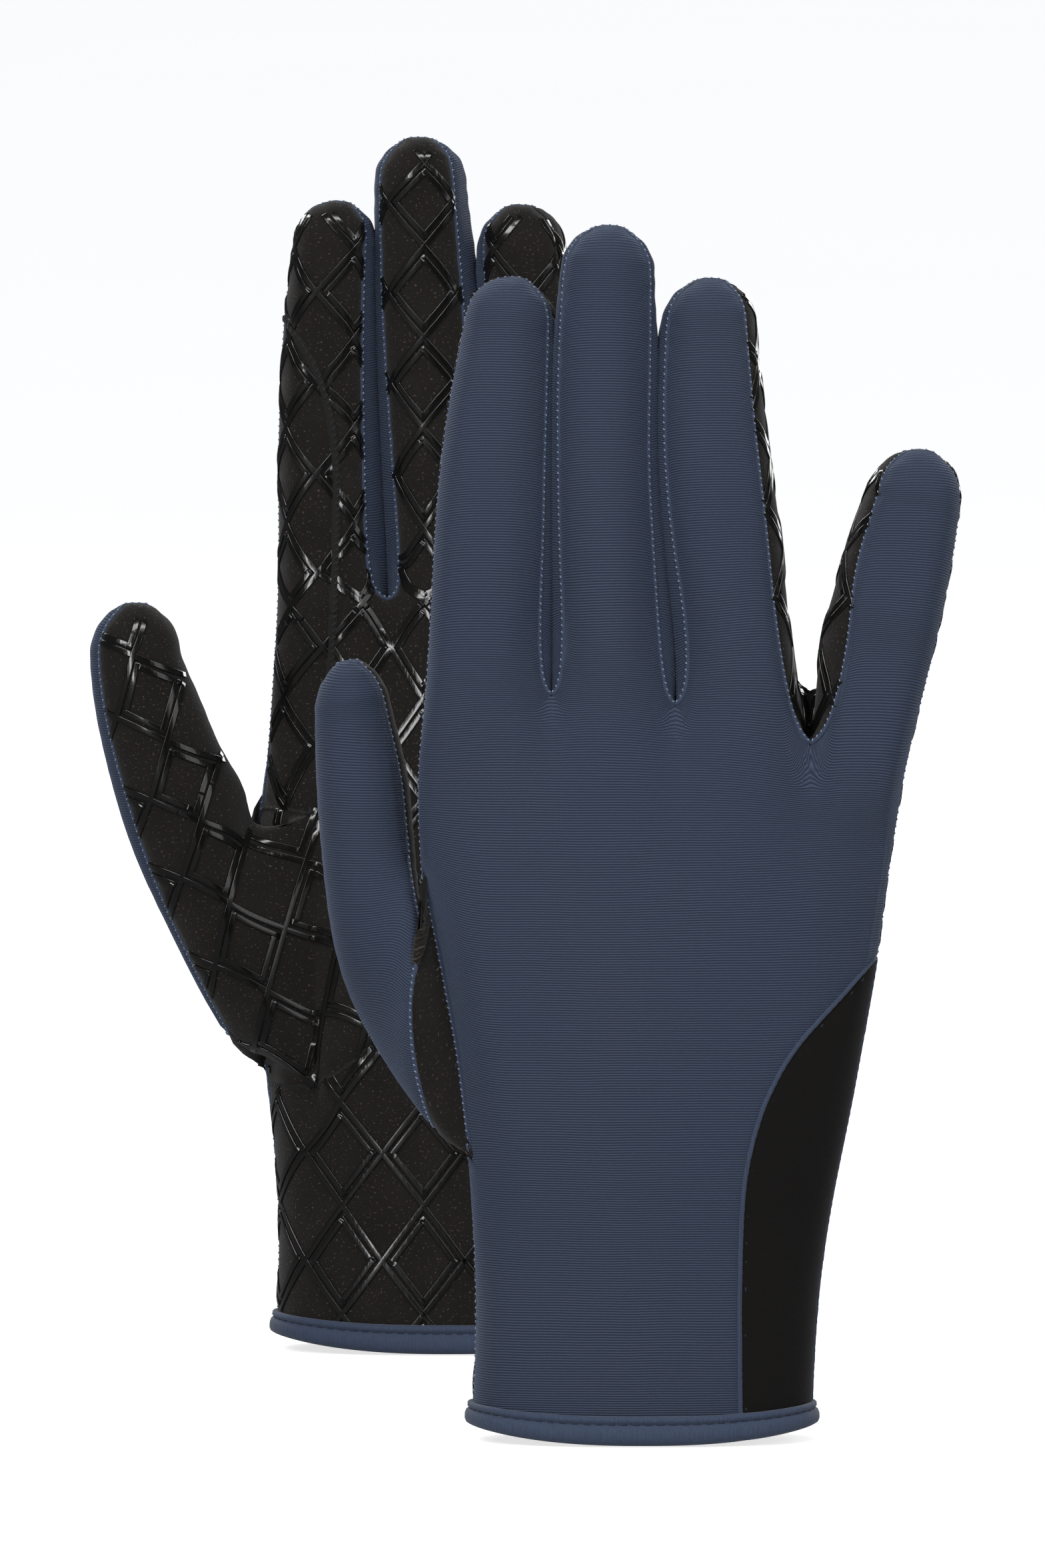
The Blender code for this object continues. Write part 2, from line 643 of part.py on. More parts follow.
def make_empty(name, parent, place):
    empty = bpy.data.objects.new(name, None)
    bpy.context.scene.collection.objects.link(empty)
    empty.parent = parent
    empty.location = place
    return empty


def make_object(name, layout, shell, material, parent, origin):
    """One closed body as a mesh object, with its vertices measured from its parent's place."""
    points, polygons = shell
    data = bpy.data.meshes.new(name)
    data.from_pydata([placed(layout, point) - origin for point in points], [], polygons)
    mesh = bmesh.new()
    mesh.from_mesh(data)
    bmesh.ops.triangulate(mesh, faces=[face for face in mesh.faces if len(face.verts) > 3])
    bmesh.ops.recalc_face_normals(mesh, faces=mesh.faces[:])
    mesh.to_mesh(data)
    mesh.free()
    data.materials.append(material)
    data.shade_smooth()
    part = bpy.data.objects.new(name, data)
    bpy.context.scene.collection.objects.link(part)
    part.parent = parent
    return part


def build_glove(layout, materials, parent):
    side = layout["side"]
    hand = make_empty(side + "_hand_origin", parent, (0, 0, 0))
    hinges = {None: (hand, Vector((0, 0, 0)))}
    for digit in FINGERS + ["thumb"]:
        place = placed(layout, knuckle_point(layout, digit))
        hinges[digit] = (make_empty(side + "_" + digit + "_hinge", hand, place), place)
    mesh, layer, tags = build_skin(layout)
    for name, wanted, cloth, digit in PANELS:
        numbers = [tags.index(tag) for tag in wanted]
        shell = panel_shell(mesh, layer, numbers, FABRIC, SEAM_GAP)
        make_object(side + "_" + name, layout, shell, materials[cloth], *hinges[digit])
    mesh.free()
    for name, shell, cloth in (("cuff_binding", binding_shell(layout), "navy_binding"),
                               ("wrist_elastic", elastic_shell(layout), "elastic")):
        make_object(side + "_" + name, layout, shell, materials[cloth], *hinges[None])


def centre_on_floor(pair):
    """Moves the pair so that the middle of its box's bottom face is at the origin."""
    bpy.context.view_layer.update()
    low = Vector((1e9, 1e9, 1e9))
    high = -low
    for part in bpy.context.scene.objects:
        if part.type != "MESH":
            continue
        for vert in part.data.vertices:
            point = part.matrix_world @ vert.co
            for k in range(3):
                low[k] = min(low[k], point[k])
                high[k] = max(high[k], point[k])
    pair.location = (-(low.x + high.x) / 2, -(low.y + high.y) / 2, -low.z)
    bpy.context.view_layer.update()


def main():
    for part in list(bpy.data.objects):
        bpy.data.objects.remove(part, do_unlink=True)
    materials = {name: make_material(name) for name in COLOURS}
    pair = make_empty("glove_pair", None, (0, 0, 0))
    build_glove(LEFT, materials, pair)
    build_glove(RIGHT, materials, pair)
    centre_on_floor(pair)


main()
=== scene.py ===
import math
import bpy
import bmesh
import numpy as np
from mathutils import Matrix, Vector, noise
from mathutils.bvhtree import BVHTree
from mathutils.kdtree import KDTree


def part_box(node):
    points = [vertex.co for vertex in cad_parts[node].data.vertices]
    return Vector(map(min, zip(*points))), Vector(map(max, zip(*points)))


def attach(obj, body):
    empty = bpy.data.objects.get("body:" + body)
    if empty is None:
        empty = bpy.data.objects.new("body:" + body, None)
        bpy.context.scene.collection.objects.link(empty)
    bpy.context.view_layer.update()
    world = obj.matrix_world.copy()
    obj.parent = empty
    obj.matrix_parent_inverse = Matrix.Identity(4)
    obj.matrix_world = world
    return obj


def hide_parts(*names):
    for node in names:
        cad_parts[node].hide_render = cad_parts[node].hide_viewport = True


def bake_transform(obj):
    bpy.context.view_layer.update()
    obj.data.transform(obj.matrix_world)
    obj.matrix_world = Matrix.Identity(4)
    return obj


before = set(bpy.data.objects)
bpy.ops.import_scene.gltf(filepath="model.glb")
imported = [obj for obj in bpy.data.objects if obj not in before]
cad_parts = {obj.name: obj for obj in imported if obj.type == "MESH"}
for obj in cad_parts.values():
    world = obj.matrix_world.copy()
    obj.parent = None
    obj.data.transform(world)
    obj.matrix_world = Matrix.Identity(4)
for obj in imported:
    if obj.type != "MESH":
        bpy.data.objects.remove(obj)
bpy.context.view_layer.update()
mm = 0.001

# layout of the two gloves, in mm
handRows = [1.6, 12.0, 26.0, 40.0, 54.0, 71.0, 88.0, 105.0]
columnCount = 28
thumbRows = (4, 7)  # the rows of the hand that the thumb grows out of
thumbRootRings = 3
fingers = ["index", "middle", "ring", "pinky"]
digits = fingers + ["thumb"]
backDepth = [(0, 17.0), (30, 16.5), (60, 16.2), (90, 15.0), (112, 13.0), (130, 11.0), (142, 9.6)]
palmDepth = [(0, 17.0), (30, 16.2), (55, 16.0), (80, 16.5), (105, 14.0), (130, 11.0), (142, 9.4)]
thumbDepth = [12.6, 12.0, 10.9, 10.0, 9.4, 8.6]
hemLift = 3.0
tipDrop = 5.0
seamAngles = {  # degrees up from the side: back (thumb side, little finger side), then palm the same way
    "index": (40, 20, 40, 44), "middle": (22, 20, 26, 46),
    "ring": (22, 40, 26, 40), "pinky": (40, 40, 36, 40)}
fingerSteps = [0.0, 0.28, 0.54, 0.76, 0.92, 1.0]  # rings along a finger, closer together towards its tip
tipTurns = [22.0, 44.0, 66.0]  # rings over the rounded tip, in degrees
tipShares = [0.9, 0.7, 0.45]  # how much of those angles is left on each ring over the tip

rightGlove = {
    "side": "right", "palmSign": 1,
    "radial": [(0, -32.4), (30, -31.8), (57, -34.0), (83, -38.6), (108, -42.2), (124, -42.8), (142, -41.2)],
    "ulnar": [(0, 32.0), (30, 33.6), (52, 37.2), (83, 43.2), (103, 46.1), (124, 49.3), (134, 51.0)],
    "crotchX": [-41.0, -17.4, 6.0, 31.5, 50.4],
    "crotchBack": [137.0, 139.8, 137.5, 128.0, 126.0],
    "crotchPalm": [141.0, 145.0, 144.0, 140.0, 134.0],
    "index": [(150, -29.8, 10.9), (185, -28.3, 10.3), (210, -25.9, 8.4), (220.3, -24.4, 7.4)],
    "middle": [(150, -6.0, 9.8), (185, -7.5, 9.2), (212, -7.1, 9.1), (230, -6.3, 8.2)],
    "ring": [(150, 17.9, 9.9), (185, 13.7, 10.3), (210, 12.6, 8.8), (220.3, 12.8, 8.0)],
    "pinky": [(147, 43.6, 10.6), (162, 47.4, 10.1), (177, 51.0, 9.0), (187.6, 52.8, 7.8)],
    "pinkyTurn": 26.0,
    "thumb": [((-39.2, 58.4), (-41.8, 100.5)), ((-51.8, 75.5), (-42.8, 106.5)),
              ((-57.8, 90.0), (-43.2, 112.0)), ((-60.3, 105.5), (-43.8, 118.0)),
              ((-61.7, 120.0), (-44.8, 126.5)), ((-62.2, 134.0), (-47.2, 136.5))],
    "thumbTip": (-56.0, 146.9),
    "thumbMiddle": [5.0, 8.0, 11.0, 12.5, 13.5, 14.5],
    "gussetWide": 3.6, "thumbWrap": 20.0,
}
leftGlove = {
    "side": "left", "palmSign": -1,
    "radial": [(0, -33.4), (30, -33.2), (44, -34.7), (54, -36.2), (83, -37.4), (106, -36.4), (124, -34.6),
               (142, -33.3)],
    "ulnar": [(0, 33.0), (30, 34.4), (52, 38.0), (83, 44.2), (103, 47.4), (124, 50.6), (134, 52.0)],
    "crotchX": [-33.2, -11.9, 10.6, 32.6, 51.4],
    "crotchBack": [137.0, 139.8, 137.5, 130.0, 128.0],
    "crotchPalm": [141.0, 145.3, 144.5, 141.0, 135.0],
    "index": [(150, -23.3, 9.9), (185, -23.8, 9.2), (205, -23.1, 8.4), (222.7, -21.4, 7.4)],
    "middle": [(150, -0.7, 9.7), (185, -3.3, 9.5), (209, -4.7, 9.3), (235, -6.0, 8.2)],
    "ring": [(150, 21.2, 9.7), (185, 17.6, 9.4), (206, 14.8, 8.6), (222.2, 13.2, 8.0)],
    "pinky": [(147, 43.4, 9.3), (162, 45.0, 9.0), (178, 46.6, 8.6), (190, 47.6, 7.8)],
    "pinkyTurn": 12.0,
    "thumb": [((-42.6, 60.6), (-37.8, 102.5)), ((-54.3, 81.5), (-39.3, 108.0)),
              ((-61.3, 98.0), (-42.0, 113.5)), ((-65.8, 112.5), (-45.2, 119.4)),
              ((-68.4, 124.5), (-48.4, 127.4)), ((-69.4, 134.4), (-51.5, 134.6))],
    "thumbTip": (-60.8, 145.3),
    "thumbMiddle": [4.5, 7.0, 9.0, 10.0, 10.5, 11.0],
    "gussetWide": 3.0, "thumbWrap": 34.0,
}


def curveAt(points, at):  # smooth value through (height, value) pairs, level past both ends
    if at <= points[0][0]:
        return points[0][1]
    for k in range(len(points) - 1):
        (t0, v0), (t1, v1) = points[k], points[k + 1]
        if at <= t1:
            span = t1 - t0
            u = (at - t0) / span
            keep = 2 * u ** 3 - 3 * u ** 2 + 1
            rise = (u ** 3 - 2 * u ** 2 + u) * span * slopeAt(points, k)
            fall = (u ** 3 - u ** 2) * span * slopeAt(points, k + 1)
            return keep * v0 + rise + (1 - keep) * v1 + fall
    return points[-1][1]


def slopeAt(points, k):
    before = points[max(k - 1, 0)]
    after = points[min(k + 1, len(points) - 1)]
    return (after[1] - before[1]) / (after[0] - before[0])


def mix(a, b, share):
    return a + (b - a) * share


def piecewise(values, position):
    k = min(int(position), len(values) - 2)
    return mix(values[k], values[k + 1], position - k)


def smoothStep(value, low, high):
    t = min(max((value - low) / (high - low), 0.0), 1.0)
    return t * t * (3 - 2 * t)


# the cage of one glove
def columnShare(column):  # side of the hand (1 back, -1 palm, 0 edge) and the place across it
    if column == 0:
        return 0, 0
    if column <= 13:
        return 1, column - 1
    if column == 14:
        return 0, 12
    return -1, 27 - column


def fingerShare(place):
    finger, step = divmod(place, 3)
    return finger + (0.0, 0.30, 0.70)[step] if place < 12 else 4.0


def addHandPoints(cage, glove):
    lastRow = len(handRows) + 1
    for row in range(lastRow + 1):
        climb = 0.52 if row < lastRow else 1.0  # from the last even row to the finger gaps
        for column in range(columnCount):
            side, place = columnShare(column)
            share = fingerShare(place)
            top = piecewise(glove["crotchPalm"] if side < 0 else glove["crotchBack"], share)
            if side == 0:
                top = (piecewise(glove["crotchPalm"], share) + piecewise(glove["crotchBack"], share)) / 2
            height = handRows[row] if row < len(handRows) else mix(handRows[-1], top, climb)
            left = curveAt(glove["radial"], height)
            right = curveAt(glove["ulnar"], height)
            if side == 0:
                x = left if place == 0 else right
                cage[("hand", row, column)] = Vector((x, 0.0, height + hemRise(row, 1.0)))
                continue
            knuckleX = piecewise(glove["crotchX"], share)
            levelX = mix(left + 2.6, right - 2.6, place / 12)
            x = mix(levelX, min(max(knuckleX, left + 1.6), right - 1.6), smoothStep(height, 40.0, 120.0))
            if column == 1:
                low, high = smoothStep(height, 26.0, 54.0), smoothStep(height, 106.0, 124.0)
                x = mix(x, left + 0.8, low * (1 - high))  # keeps the back seam out by the thumb
            across = (2 * x - left - right) / (right - left)
            depth = curveAt(backDepth if side > 0 else palmDepth, height)
            depth *= (1 - min(abs(across), 1.0) ** 2.6) ** 0.45
            if row == lastRow:
                depth = 6.4 if place % 3 == 0 else 9.6
            elif row == lastRow - 1 and 0 < place < 12 and place % 3 == 0:
                depth *= 0.93
            cage[("hand", row, column)] = Vector((x, side * depth, height + hemRise(row, across)))
    for k in range(1, 4):
        height = (glove["crotchBack"][k] + glove["crotchPalm"][k]) / 2 - 1.0
        cage[("crotch", k)] = Vector((glove["crotchX"][k], 0.0, height))


def hemRise(row, across):
    return hemLift * abs(across) ** 2.5 if row == 0 else 0.0


def ringProfile(backLeft, backRight, palmLeft, palmRight):  # ten points round a finger, as (across, deep)
    angles = [180, 180 - backLeft, 108, 72, backRight, 0, -palmRight, -72, -108, palmLeft - 180]
    turns = [(math.cos(math.radians(a)), math.sin(math.radians(a))) for a in angles]
    return [(math.copysign(abs(c) ** 0.8, c), math.copysign(abs(s) ** 0.8, s)) for c, s in turns]


def addFinger(cage, quads, glove, number):
    name = fingers[number]
    line = glove[name]
    middleLine = [(z, x) for z, x, half in line]
    halfLine = [(z, half) for z, x, half in line]
    start, tip, cap = line[0][0], line[-1][0], line[-1][2]
    heights = [mix(start, tip - cap, step) for step in fingerSteps]
    heights += [tip - cap * (1 - math.sin(math.radians(turn))) for turn in tipTurns]
    first = 3 * number
    base = [("hand", 9, 0) if number == 0 else ("crotch", number)]
    base += [("hand", 9, 1 + first + k) for k in range(4)]
    base += [("hand", 9, 14) if number == 3 else ("crotch", number + 1)]
    base += [("hand", 9, 24 - first + k) for k in range(4)]
    rings = [base]
    for ring, z in enumerate(heights):
        grown = (z - start) / (tip - start)
        x = curveAt(middleLine, z)
        lean = math.atan((curveAt(middleLine, z + 1) - curveAt(middleLine, z - 1)) / 2)
        roundOff = math.sqrt(1 - max(0.0, 1 - (tip - z) / cap) ** 2)
        half = curveAt(halfLine, z) * roundOff
        deep = mix(9.0, 8.0, grown) * roundOff
        share = 1.0 if ring < len(fingerSteps) else tipShares[ring - len(fingerSteps)]
        turn = glove["pinkyTurn"] * max(0.0, 1 - 2.2 * grown) if name == "pinky" else 0.0
        turns = [angle * share + extra for angle, extra in zip(seamAngles[name], (turn, 0.0, turn, 0.0))]
        for k, (across, depth) in enumerate(ringProfile(*turns)):
            side = half * across
            if k in (0, 5):
                side += math.copysign(wallReach(glove, number, 1 if k else -1, z), side)
            y = deep * depth - tipDrop * grown ** 2
            cage[(name, ring, k)] = Vector((x + side * math.cos(lean), y, z - side * math.sin(lean)))
        rings.append([(name, ring, k) for k in range(10)])
    for ring in range(len(rings) - 1):
        for k in range(10):
            after = (k + 1) % 10
            keys = [rings[ring][k], rings[ring][after], rings[ring + 1][after], rings[ring + 1][k]]
            quads.append((keys, name + fingerZone(number, k)))
    for k, along in enumerate((-0.2, 0.2)):
        cage[(name, "cap", k)] = Vector((middleLine[-1][1] + along * cap, -tipDrop, tip))
    top = rings[-1]
    one, two = (name, "cap", 0), (name, "cap", 1)
    for keys in ([top[0], top[1], top[2], one], [one, top[2], top[3], two], [two, top[3], top[4], top[5]]):
        quads.append((keys, name + "_back"))
    for keys in ([top[5], top[6], top[7], two], [two, top[7], top[8], one], [one, top[8], top[9], top[0]]):
        quads.append((keys, name + "_palm"))


def wallReach(glove, number, side, height):  # a side wall swells until it meets the next finger's
    if not 0 <= number + side <= 3:
        return 0.0
    edges = []
    for which, way in ((number, side), (number + side, -side)):
        line = glove[fingers[which]]
        x = curveAt([(z, x) for z, x, half in line], height)
        edges.append(x + way * curveAt([(z, half) for z, x, half in line], height))
    gap = (edges[1] - edges[0]) * side
    most = 0.6 if 3 in (number, number + side) else 3.4
    shorter = min(glove[fingers[number]][-1][0], glove[fingers[number + side]][-1][0])
    fade = 1 - smoothStep(height, shorter - 14.0, shorter - 3.0)
    return min(max(gap / 2 + 0.25, 0.0), most) * fade


def fingerZone(number, k):
    if k in (1, 2, 3):
        return "_back"
    if k in (6, 7, 8):
        return "_palm"
    if k in (0, 9) and number == 0 or k in (4, 5) and number == 3:
        return "_back" if k in (0, 4) else "_palm"
    return "_radial_wall" if k in (0, 9) else "_ulnar_wall"


def addThumb(cage, quads, glove):
    low, high = thumbRows
    base = [(low, 0), (low, 27), (low, 26), (low + 1, 26), (low + 2, 26), (high, 26),
            (high, 27), (high, 0), (high, 1), (low + 2, 1), (low + 1, 1), (low, 1)]
    rings = [[("hand", row, column) for row, column in base]]
    sections = []
    for (outer, inner), middle, deep in zip(glove["thumb"], glove["thumbMiddle"], thumbDepth):
        centre = Vector(((outer[0] + inner[0]) / 2, -middle, (outer[1] + inner[1]) / 2))
        sections.append((centre, Vector((outer[0] - inner[0], 0, outer[1] - inner[1])) / 2, deep))
    centre, reach, deep = sections[-1]
    tip = Vector((glove["thumbTip"][0], centre.y, glove["thumbTip"][1]))
    for turn in tipTurns:
        share, shrink = math.sin(math.radians(turn)), math.cos(math.radians(turn))
        sections.append((centre.lerp(tip, share), reach * shrink, deep * shrink))
    for ring, (middle, out, depth) in enumerate(sections):
        for k in range(12):
            wrap = glove["thumbWrap"] * (0.45, 0.8)[ring] if ring < 2 else glove["thumbWrap"]
            angle = math.radians(30 * k + wrap * (0.5 + 0.5 * math.cos(math.radians(30 * k))) ** 2)
            deepest = Vector((0, depth, 0))
            cage[("thumb", ring, k)] = middle + out * math.cos(angle) - deepest * math.sin(angle)
        rings.append([("thumb", ring, k) for k in range(12)])
    for k, share in ((8, 0.6), (9, 1.0), (10, 0.8), (11, 0.2)):
        cage[("thumb", 0, k)].x -= share * glove["gussetWide"]
    for ring in range(len(rings) - 1):
        for k in range(12):
            after = (k + 1) % 12
            keys = [rings[ring][k], rings[ring][after], rings[ring + 1][after], rings[ring + 1][k]]
            zone = "_palm" if k < 7 else ("_gusset" if ring == 0 else "_back")
            quads.append((keys, ("thumb" if ring >= thumbRootRings else "thumb_root") + zone))
    for k, along in enumerate((0.22, -0.22)):
        cage[("thumb", "cap", k)] = tip + reach * along
    top = rings[-1]
    one, two = ("thumb", "cap", 0), ("thumb", "cap", 1)
    fans = [([top[0], top[1], top[2], one], "palm"), ([one, top[2], top[3], two], "palm"),
            ([two, top[3], top[4]], "palm"), ([two, top[4], top[5], top[6]], "palm"),
            ([two, top[6], top[7]], "palm"), ([two, top[7], top[8]], "back"),
            ([two, top[8], top[9], one], "back"), ([one, top[9], top[10]], "back"),
            ([one, top[10], top[11], top[0]], "back")]
    for keys, zone in fans:
        quads.append((keys, "thumb_" + zone))


def buildCage(glove):
    cage, quads = {}, []
    addHandPoints(cage, glove)
    for row in range(len(handRows) + 1):
        for column in range(columnCount):
            if thumbRows[0] <= row < thumbRows[1] and column in (0, 26, 27):
                continue
            after = (column + 1) % columnCount
            corners = ((row, column), (row, after), (row + 1, after), (row + 1, column))
            keys = [("hand", *corner) for corner in corners]
            quads.append((keys, "hand_back" if column < 14 else "hand_palm"))
    for number in range(4):
        addFinger(cage, quads, glove, number)
    addThumb(cage, quads, glove)
    return cage, quads


def clothUv(cage):  # flat cloth coordinates in mm, (across, along), for each half of the glove
    flat = {}
    for row in range(len(handRows) + 2):
        for half, columns in (("back", list(range(0, 15))), ("palm", [14 + k for k in range(15)])):
            keys = [("hand", row, column % columnCount) for column in columns]
            if half == "palm":
                keys.reverse()
            spans = [(cage[b] - cage[a]).xy.length for a, b in zip(keys, keys[1:])]
            middle = 7  # the column that stays in place
            for k, key in enumerate(keys):
                run = sum(spans[middle:k]) if k >= middle else -sum(spans[k:middle])
                flat[(half, key)] = (cage[keys[middle]].x + run, cage[key].z)
    for number, name in enumerate(fingers):
        for ring in range(len(fingerSteps) + len(tipTurns)):
            loop = [cage[(name, ring, k)] for k in range(10)]
            centreX = (loop[2].x + loop[3].x) / 2
            droop = 2.2  # the ribs sag towards the seams of a finger
            for half, order, middle in (("back", [0, 1, 2, 3, 4, 5], 2), ("palm", [0, 9, 8, 7, 6, 5], 2)):
                spans = [(loop[b] - loop[a]).length for a, b in zip(order, order[1:])]
                centre = sum(spans[:2]) + spans[2] / 2
                for k, corner in enumerate(order):
                    run = sum(spans[:k]) - centre
                    lift = droop * (run / max(centre, 1e-6)) ** 2 if half == "back" else 0.0
                    flat[(half, (name, ring, corner))] = (centreX + run, loop[corner].z + lift)
        for k in (0, 1):
            point = cage[(name, "cap", k)]
            for half in ("back", "palm"):
                flat[(half, (name, "cap", k))] = (point.x, point.z + 4.0)
    return flat


def cornerUv(flat, cage, key, tag):
    half = "palm" if "palm" in tag else "back"
    if "wall" in tag:
        return (cage[key].y * 1.15, cage[key].z)
    if tag.startswith("thumb") or key[0] == "crotch":
        return (cage[key].x, cage[key].z)
    return flat[(half, key)]


def holdLimit(points, faces, rounds=4):  # moves the cage so that the smooth skin passes through its points
    count = len(points)
    neighbours = [set() for _ in range(count)]
    corners = [[] for _ in range(count)]
    edgeFaces = {}
    for face in faces:
        size = len(face)
        for k, vert in enumerate(face):
            after, before = face[(k + 1) % size], face[k - 1]
            neighbours[vert].update((after, before))
            corners[vert].append(face[(k + 2) % size] if size == 4 else after)
            edgeFaces.setdefault(frozenset((vert, after)), []).append(face)
    rim = {vert: [] for vert in range(count)}
    for edge, owners in edgeFaces.items():
        if len(owners) == 1:
            one, two = tuple(edge)
            rim[one].append(two)
            rim[two].append(one)
    target = np.array([list(p) for p in points])
    now = target.copy()
    for _ in range(rounds):
        limit = np.empty_like(now)
        for vert in range(count):
            if rim[vert]:
                limit[vert] = (4 * now[vert] + now[rim[vert]].sum(0)) / 6
                continue
            if not neighbours[vert]:
                limit[vert] = target[vert]
                continue
            n = len(neighbours[vert])
            around = now[list(neighbours[vert])].sum(0)
            across = now[corners[vert]].sum(0)
            limit[vert] = (n * n * now[vert] + 4 * around + across) / (n * (n + 5))
        now += 0.85 * (target - limit)
    return now


skinStyle = {"levels": 3, "thick": 0.9, "rumple": 0.30, "rumpleSize": 24.0, "seamDip": 0.45, "dipReach": 2.6,
             "pucker": 0.13, "puckerLength": 4.6, "puckerReach": 3.2, "crotchRounds": 14}


def smoothSkin(glove):  # the whole glove as one smooth bmesh, in mm, with a panel tag on each face
    cage, quads = buildCage(glove)
    keys = list(cage)
    order = {key: k for k, key in enumerate(keys)}
    faces = [[order[key] for key in corners] for corners, tag in quads]
    points = holdLimit([cage[key] for key in keys], faces)
    tags = sorted({tag for corners, tag in quads})
    flat = clothUv(cage)
    data = bpy.data.meshes.new("cage")
    data.from_pydata([Vector(p) for p in points], [], faces)
    panel = data.attributes.new("panel", "INT", "FACE")
    panel.data.foreach_set("value", [tags.index(tag) for corners, tag in quads])
    cloth = data.uv_layers.new(name="cloth")
    loops = iter(cloth.data)
    for corners, tag in quads:
        for key in corners:
            next(loops).uv = cornerUv(flat, cage, key, tag)
    cageObject = bpy.data.objects.new("cage", data)
    bpy.context.scene.collection.objects.link(cageObject)
    smooth = cageObject.modifiers.new("smooth", "SUBSURF")
    smooth.levels = smooth.render_levels = skinStyle["levels"]
    graph = bpy.context.evaluated_depsgraph_get()
    fine = bpy.data.meshes.new_from_object(cageObject.evaluated_get(graph))
    bpy.data.objects.remove(cageObject)
    mesh = bmesh.new()
    mesh.from_mesh(fine)
    bpy.data.meshes.remove(fine)
    bmesh.ops.recalc_face_normals(mesh, faces=mesh.faces[:])
    return mesh, mesh.faces.layers.int["panel"], tags


# seams that cross the cage
def ulnarPanelField(point):
    seam = [(0, 18.4), (46, 18.8), (62, 22.0), (74, 28.0), (84, 37.0), (94, 47.0), (110, 70.0)]
    return point.x - curveAt(seam, point.z)


def thenarField(point):
    return 24.0 * (1 - math.hypot((point.x + 33.0) / 24.0, (point.z - 78.0) / 27.0))


def stripField(point, radialX):
    seamX = curveAt([(100, 8.5), (150, 11.0), (178, 11.0), (192, 6.5), (205, -3.0)], point.z)
    return seamX - (point.x - radialX)


def seamEnds(values):
    count = len(values)
    zeros = [k for k in range(count) if values[k] == 0.0]
    for one in zeros:
        for two in zeros:
            if two - one < 2 or one + count - two < 2:
                continue
            between, around = values[one + 1:two], values[two + 1:] + values[:one]
            for first, second in ((between, around), (around, between)):
                if min(first) >= 0 and max(first) > 0 and max(second) <= 0 and min(second) < 0:
                    return one, two
    return None


def cutPanel(mesh, layer, tags, source, target, field, snap=0.12):
    if source not in tags:
        return
    number = tags.index(source)
    faces = [face for face in mesh.faces if face[layer] == number]
    values = {vert: field(vert.co) for face in faces for vert in face.verts}
    for vert, value in values.items():
        if abs(value) < snap:
            values[vert] = 0.0
    for edge in list({edge for face in faces for edge in face.edges}):
        one, two = edge.verts
        if values[one] * values[two] < 0:
            share = values[one] / (values[one] - values[two])
            values[bmesh.utils.edge_split(edge, one, share)[1]] = 0.0
    for face in faces:
        ends = seamEnds([values[vert] for vert in face.verts])
        if ends:
            bmesh.utils.face_split(face, face.verts[ends[0]], face.verts[ends[1]])
    if target not in tags:
        tags.append(target)
    for face in mesh.faces:
        if face[layer] == number and all(vert in values for vert in face.verts):
            if sum(values[vert] for vert in face.verts) > 0:
                face[layer] = tags.index(target)


def cutPanels(mesh, layer, tags, glove):
    radialX = glove["index"][0][1] - glove["index"][0][2]
    cutPanel(mesh, layer, tags, "hand_back", "ulnar_panel", ulnarPanelField)
    cutPanel(mesh, layer, tags, "hand_palm", "thenar_panel", thenarField)
    cutPanel(mesh, layer, tags, "index_palm", "index_strip", lambda p: stripField(p, radialX))
    cutPanel(mesh, layer, tags, "hand_palm", "hand_strip", lambda p: min(stripField(p, radialX), p.z - 104.0))


panels = [  # panel, the skin tags it covers, its finish, the digit it sits on
    ("back_panel", ["hand_back"], "navy_stretch", None),
    ("palm_panel", ["hand_palm"], "black_suede", None),
    ("ulnar_wrist_panel", ["ulnar_panel"], "black_smooth", None),
    ("thenar_panel", ["thenar_panel", "thumb_root_palm"], "black_suede", None),
    ("thumb_gusset", ["thumb_root_gusset"], "black_suede", None),
    ("thumb_root_panel", ["thumb_root_back"], "navy_stretch", None),
    ("radial_strip_base", ["hand_strip"], "black_suede", None),
    ("thumb_back", ["thumb_back"], "navy_stretch", "thumb"),
    ("thumb_palm", ["thumb_palm"], "black_suede", "thumb"),
    ("index_radial_strip", ["index_strip"], "black_suede", "index"),
]
for finger in fingers:
    panels.append((finger + "_back", [finger + "_back"], "navy_stretch", finger))
    panels.append((finger + "_palm", [finger + "_palm"], "black_suede", finger))
wallCloth = {  # the two walls of each gap are one folded strip of cloth
    "index_ulnar_wall": "fork1", "middle_radial_wall": "fork1", "middle_ulnar_wall": "fork2",
    "ring_radial_wall": "fork2", "ring_ulnar_wall": "fork3", "pinky_radial_wall": "fork3"}
for wall, cloth in wallCloth.items():
    panels.append((wall, [wall], "black_suede" if cloth == "fork3" else "navy_stretch", wall.split("_")[0]))

finishOfTag = {tag: finish for node, covered, finish, digit in panels for tag in covered}
digitOfTag = {tag: digit for node, covered, finish, digit in panels for tag in covered}


def clothOf(tag):  # tags that are one piece of cloth, cut only where a digit bends
    if tag in wallCloth:
        return wallCloth[tag]
    if tag in ("thenar_panel", "thumb_root_palm", "thumb_palm"):
        return "thenar"
    if tag in ("thumb_root_back", "thumb_back"):
        return "thumbBack"
    if tag in ("hand_strip", "index_strip"):
        return "strip"
    if tag in ("ulnar_panel", "thumb_root_gusset"):
        return tag
    return "back" if tag.endswith("_back") else "palm"


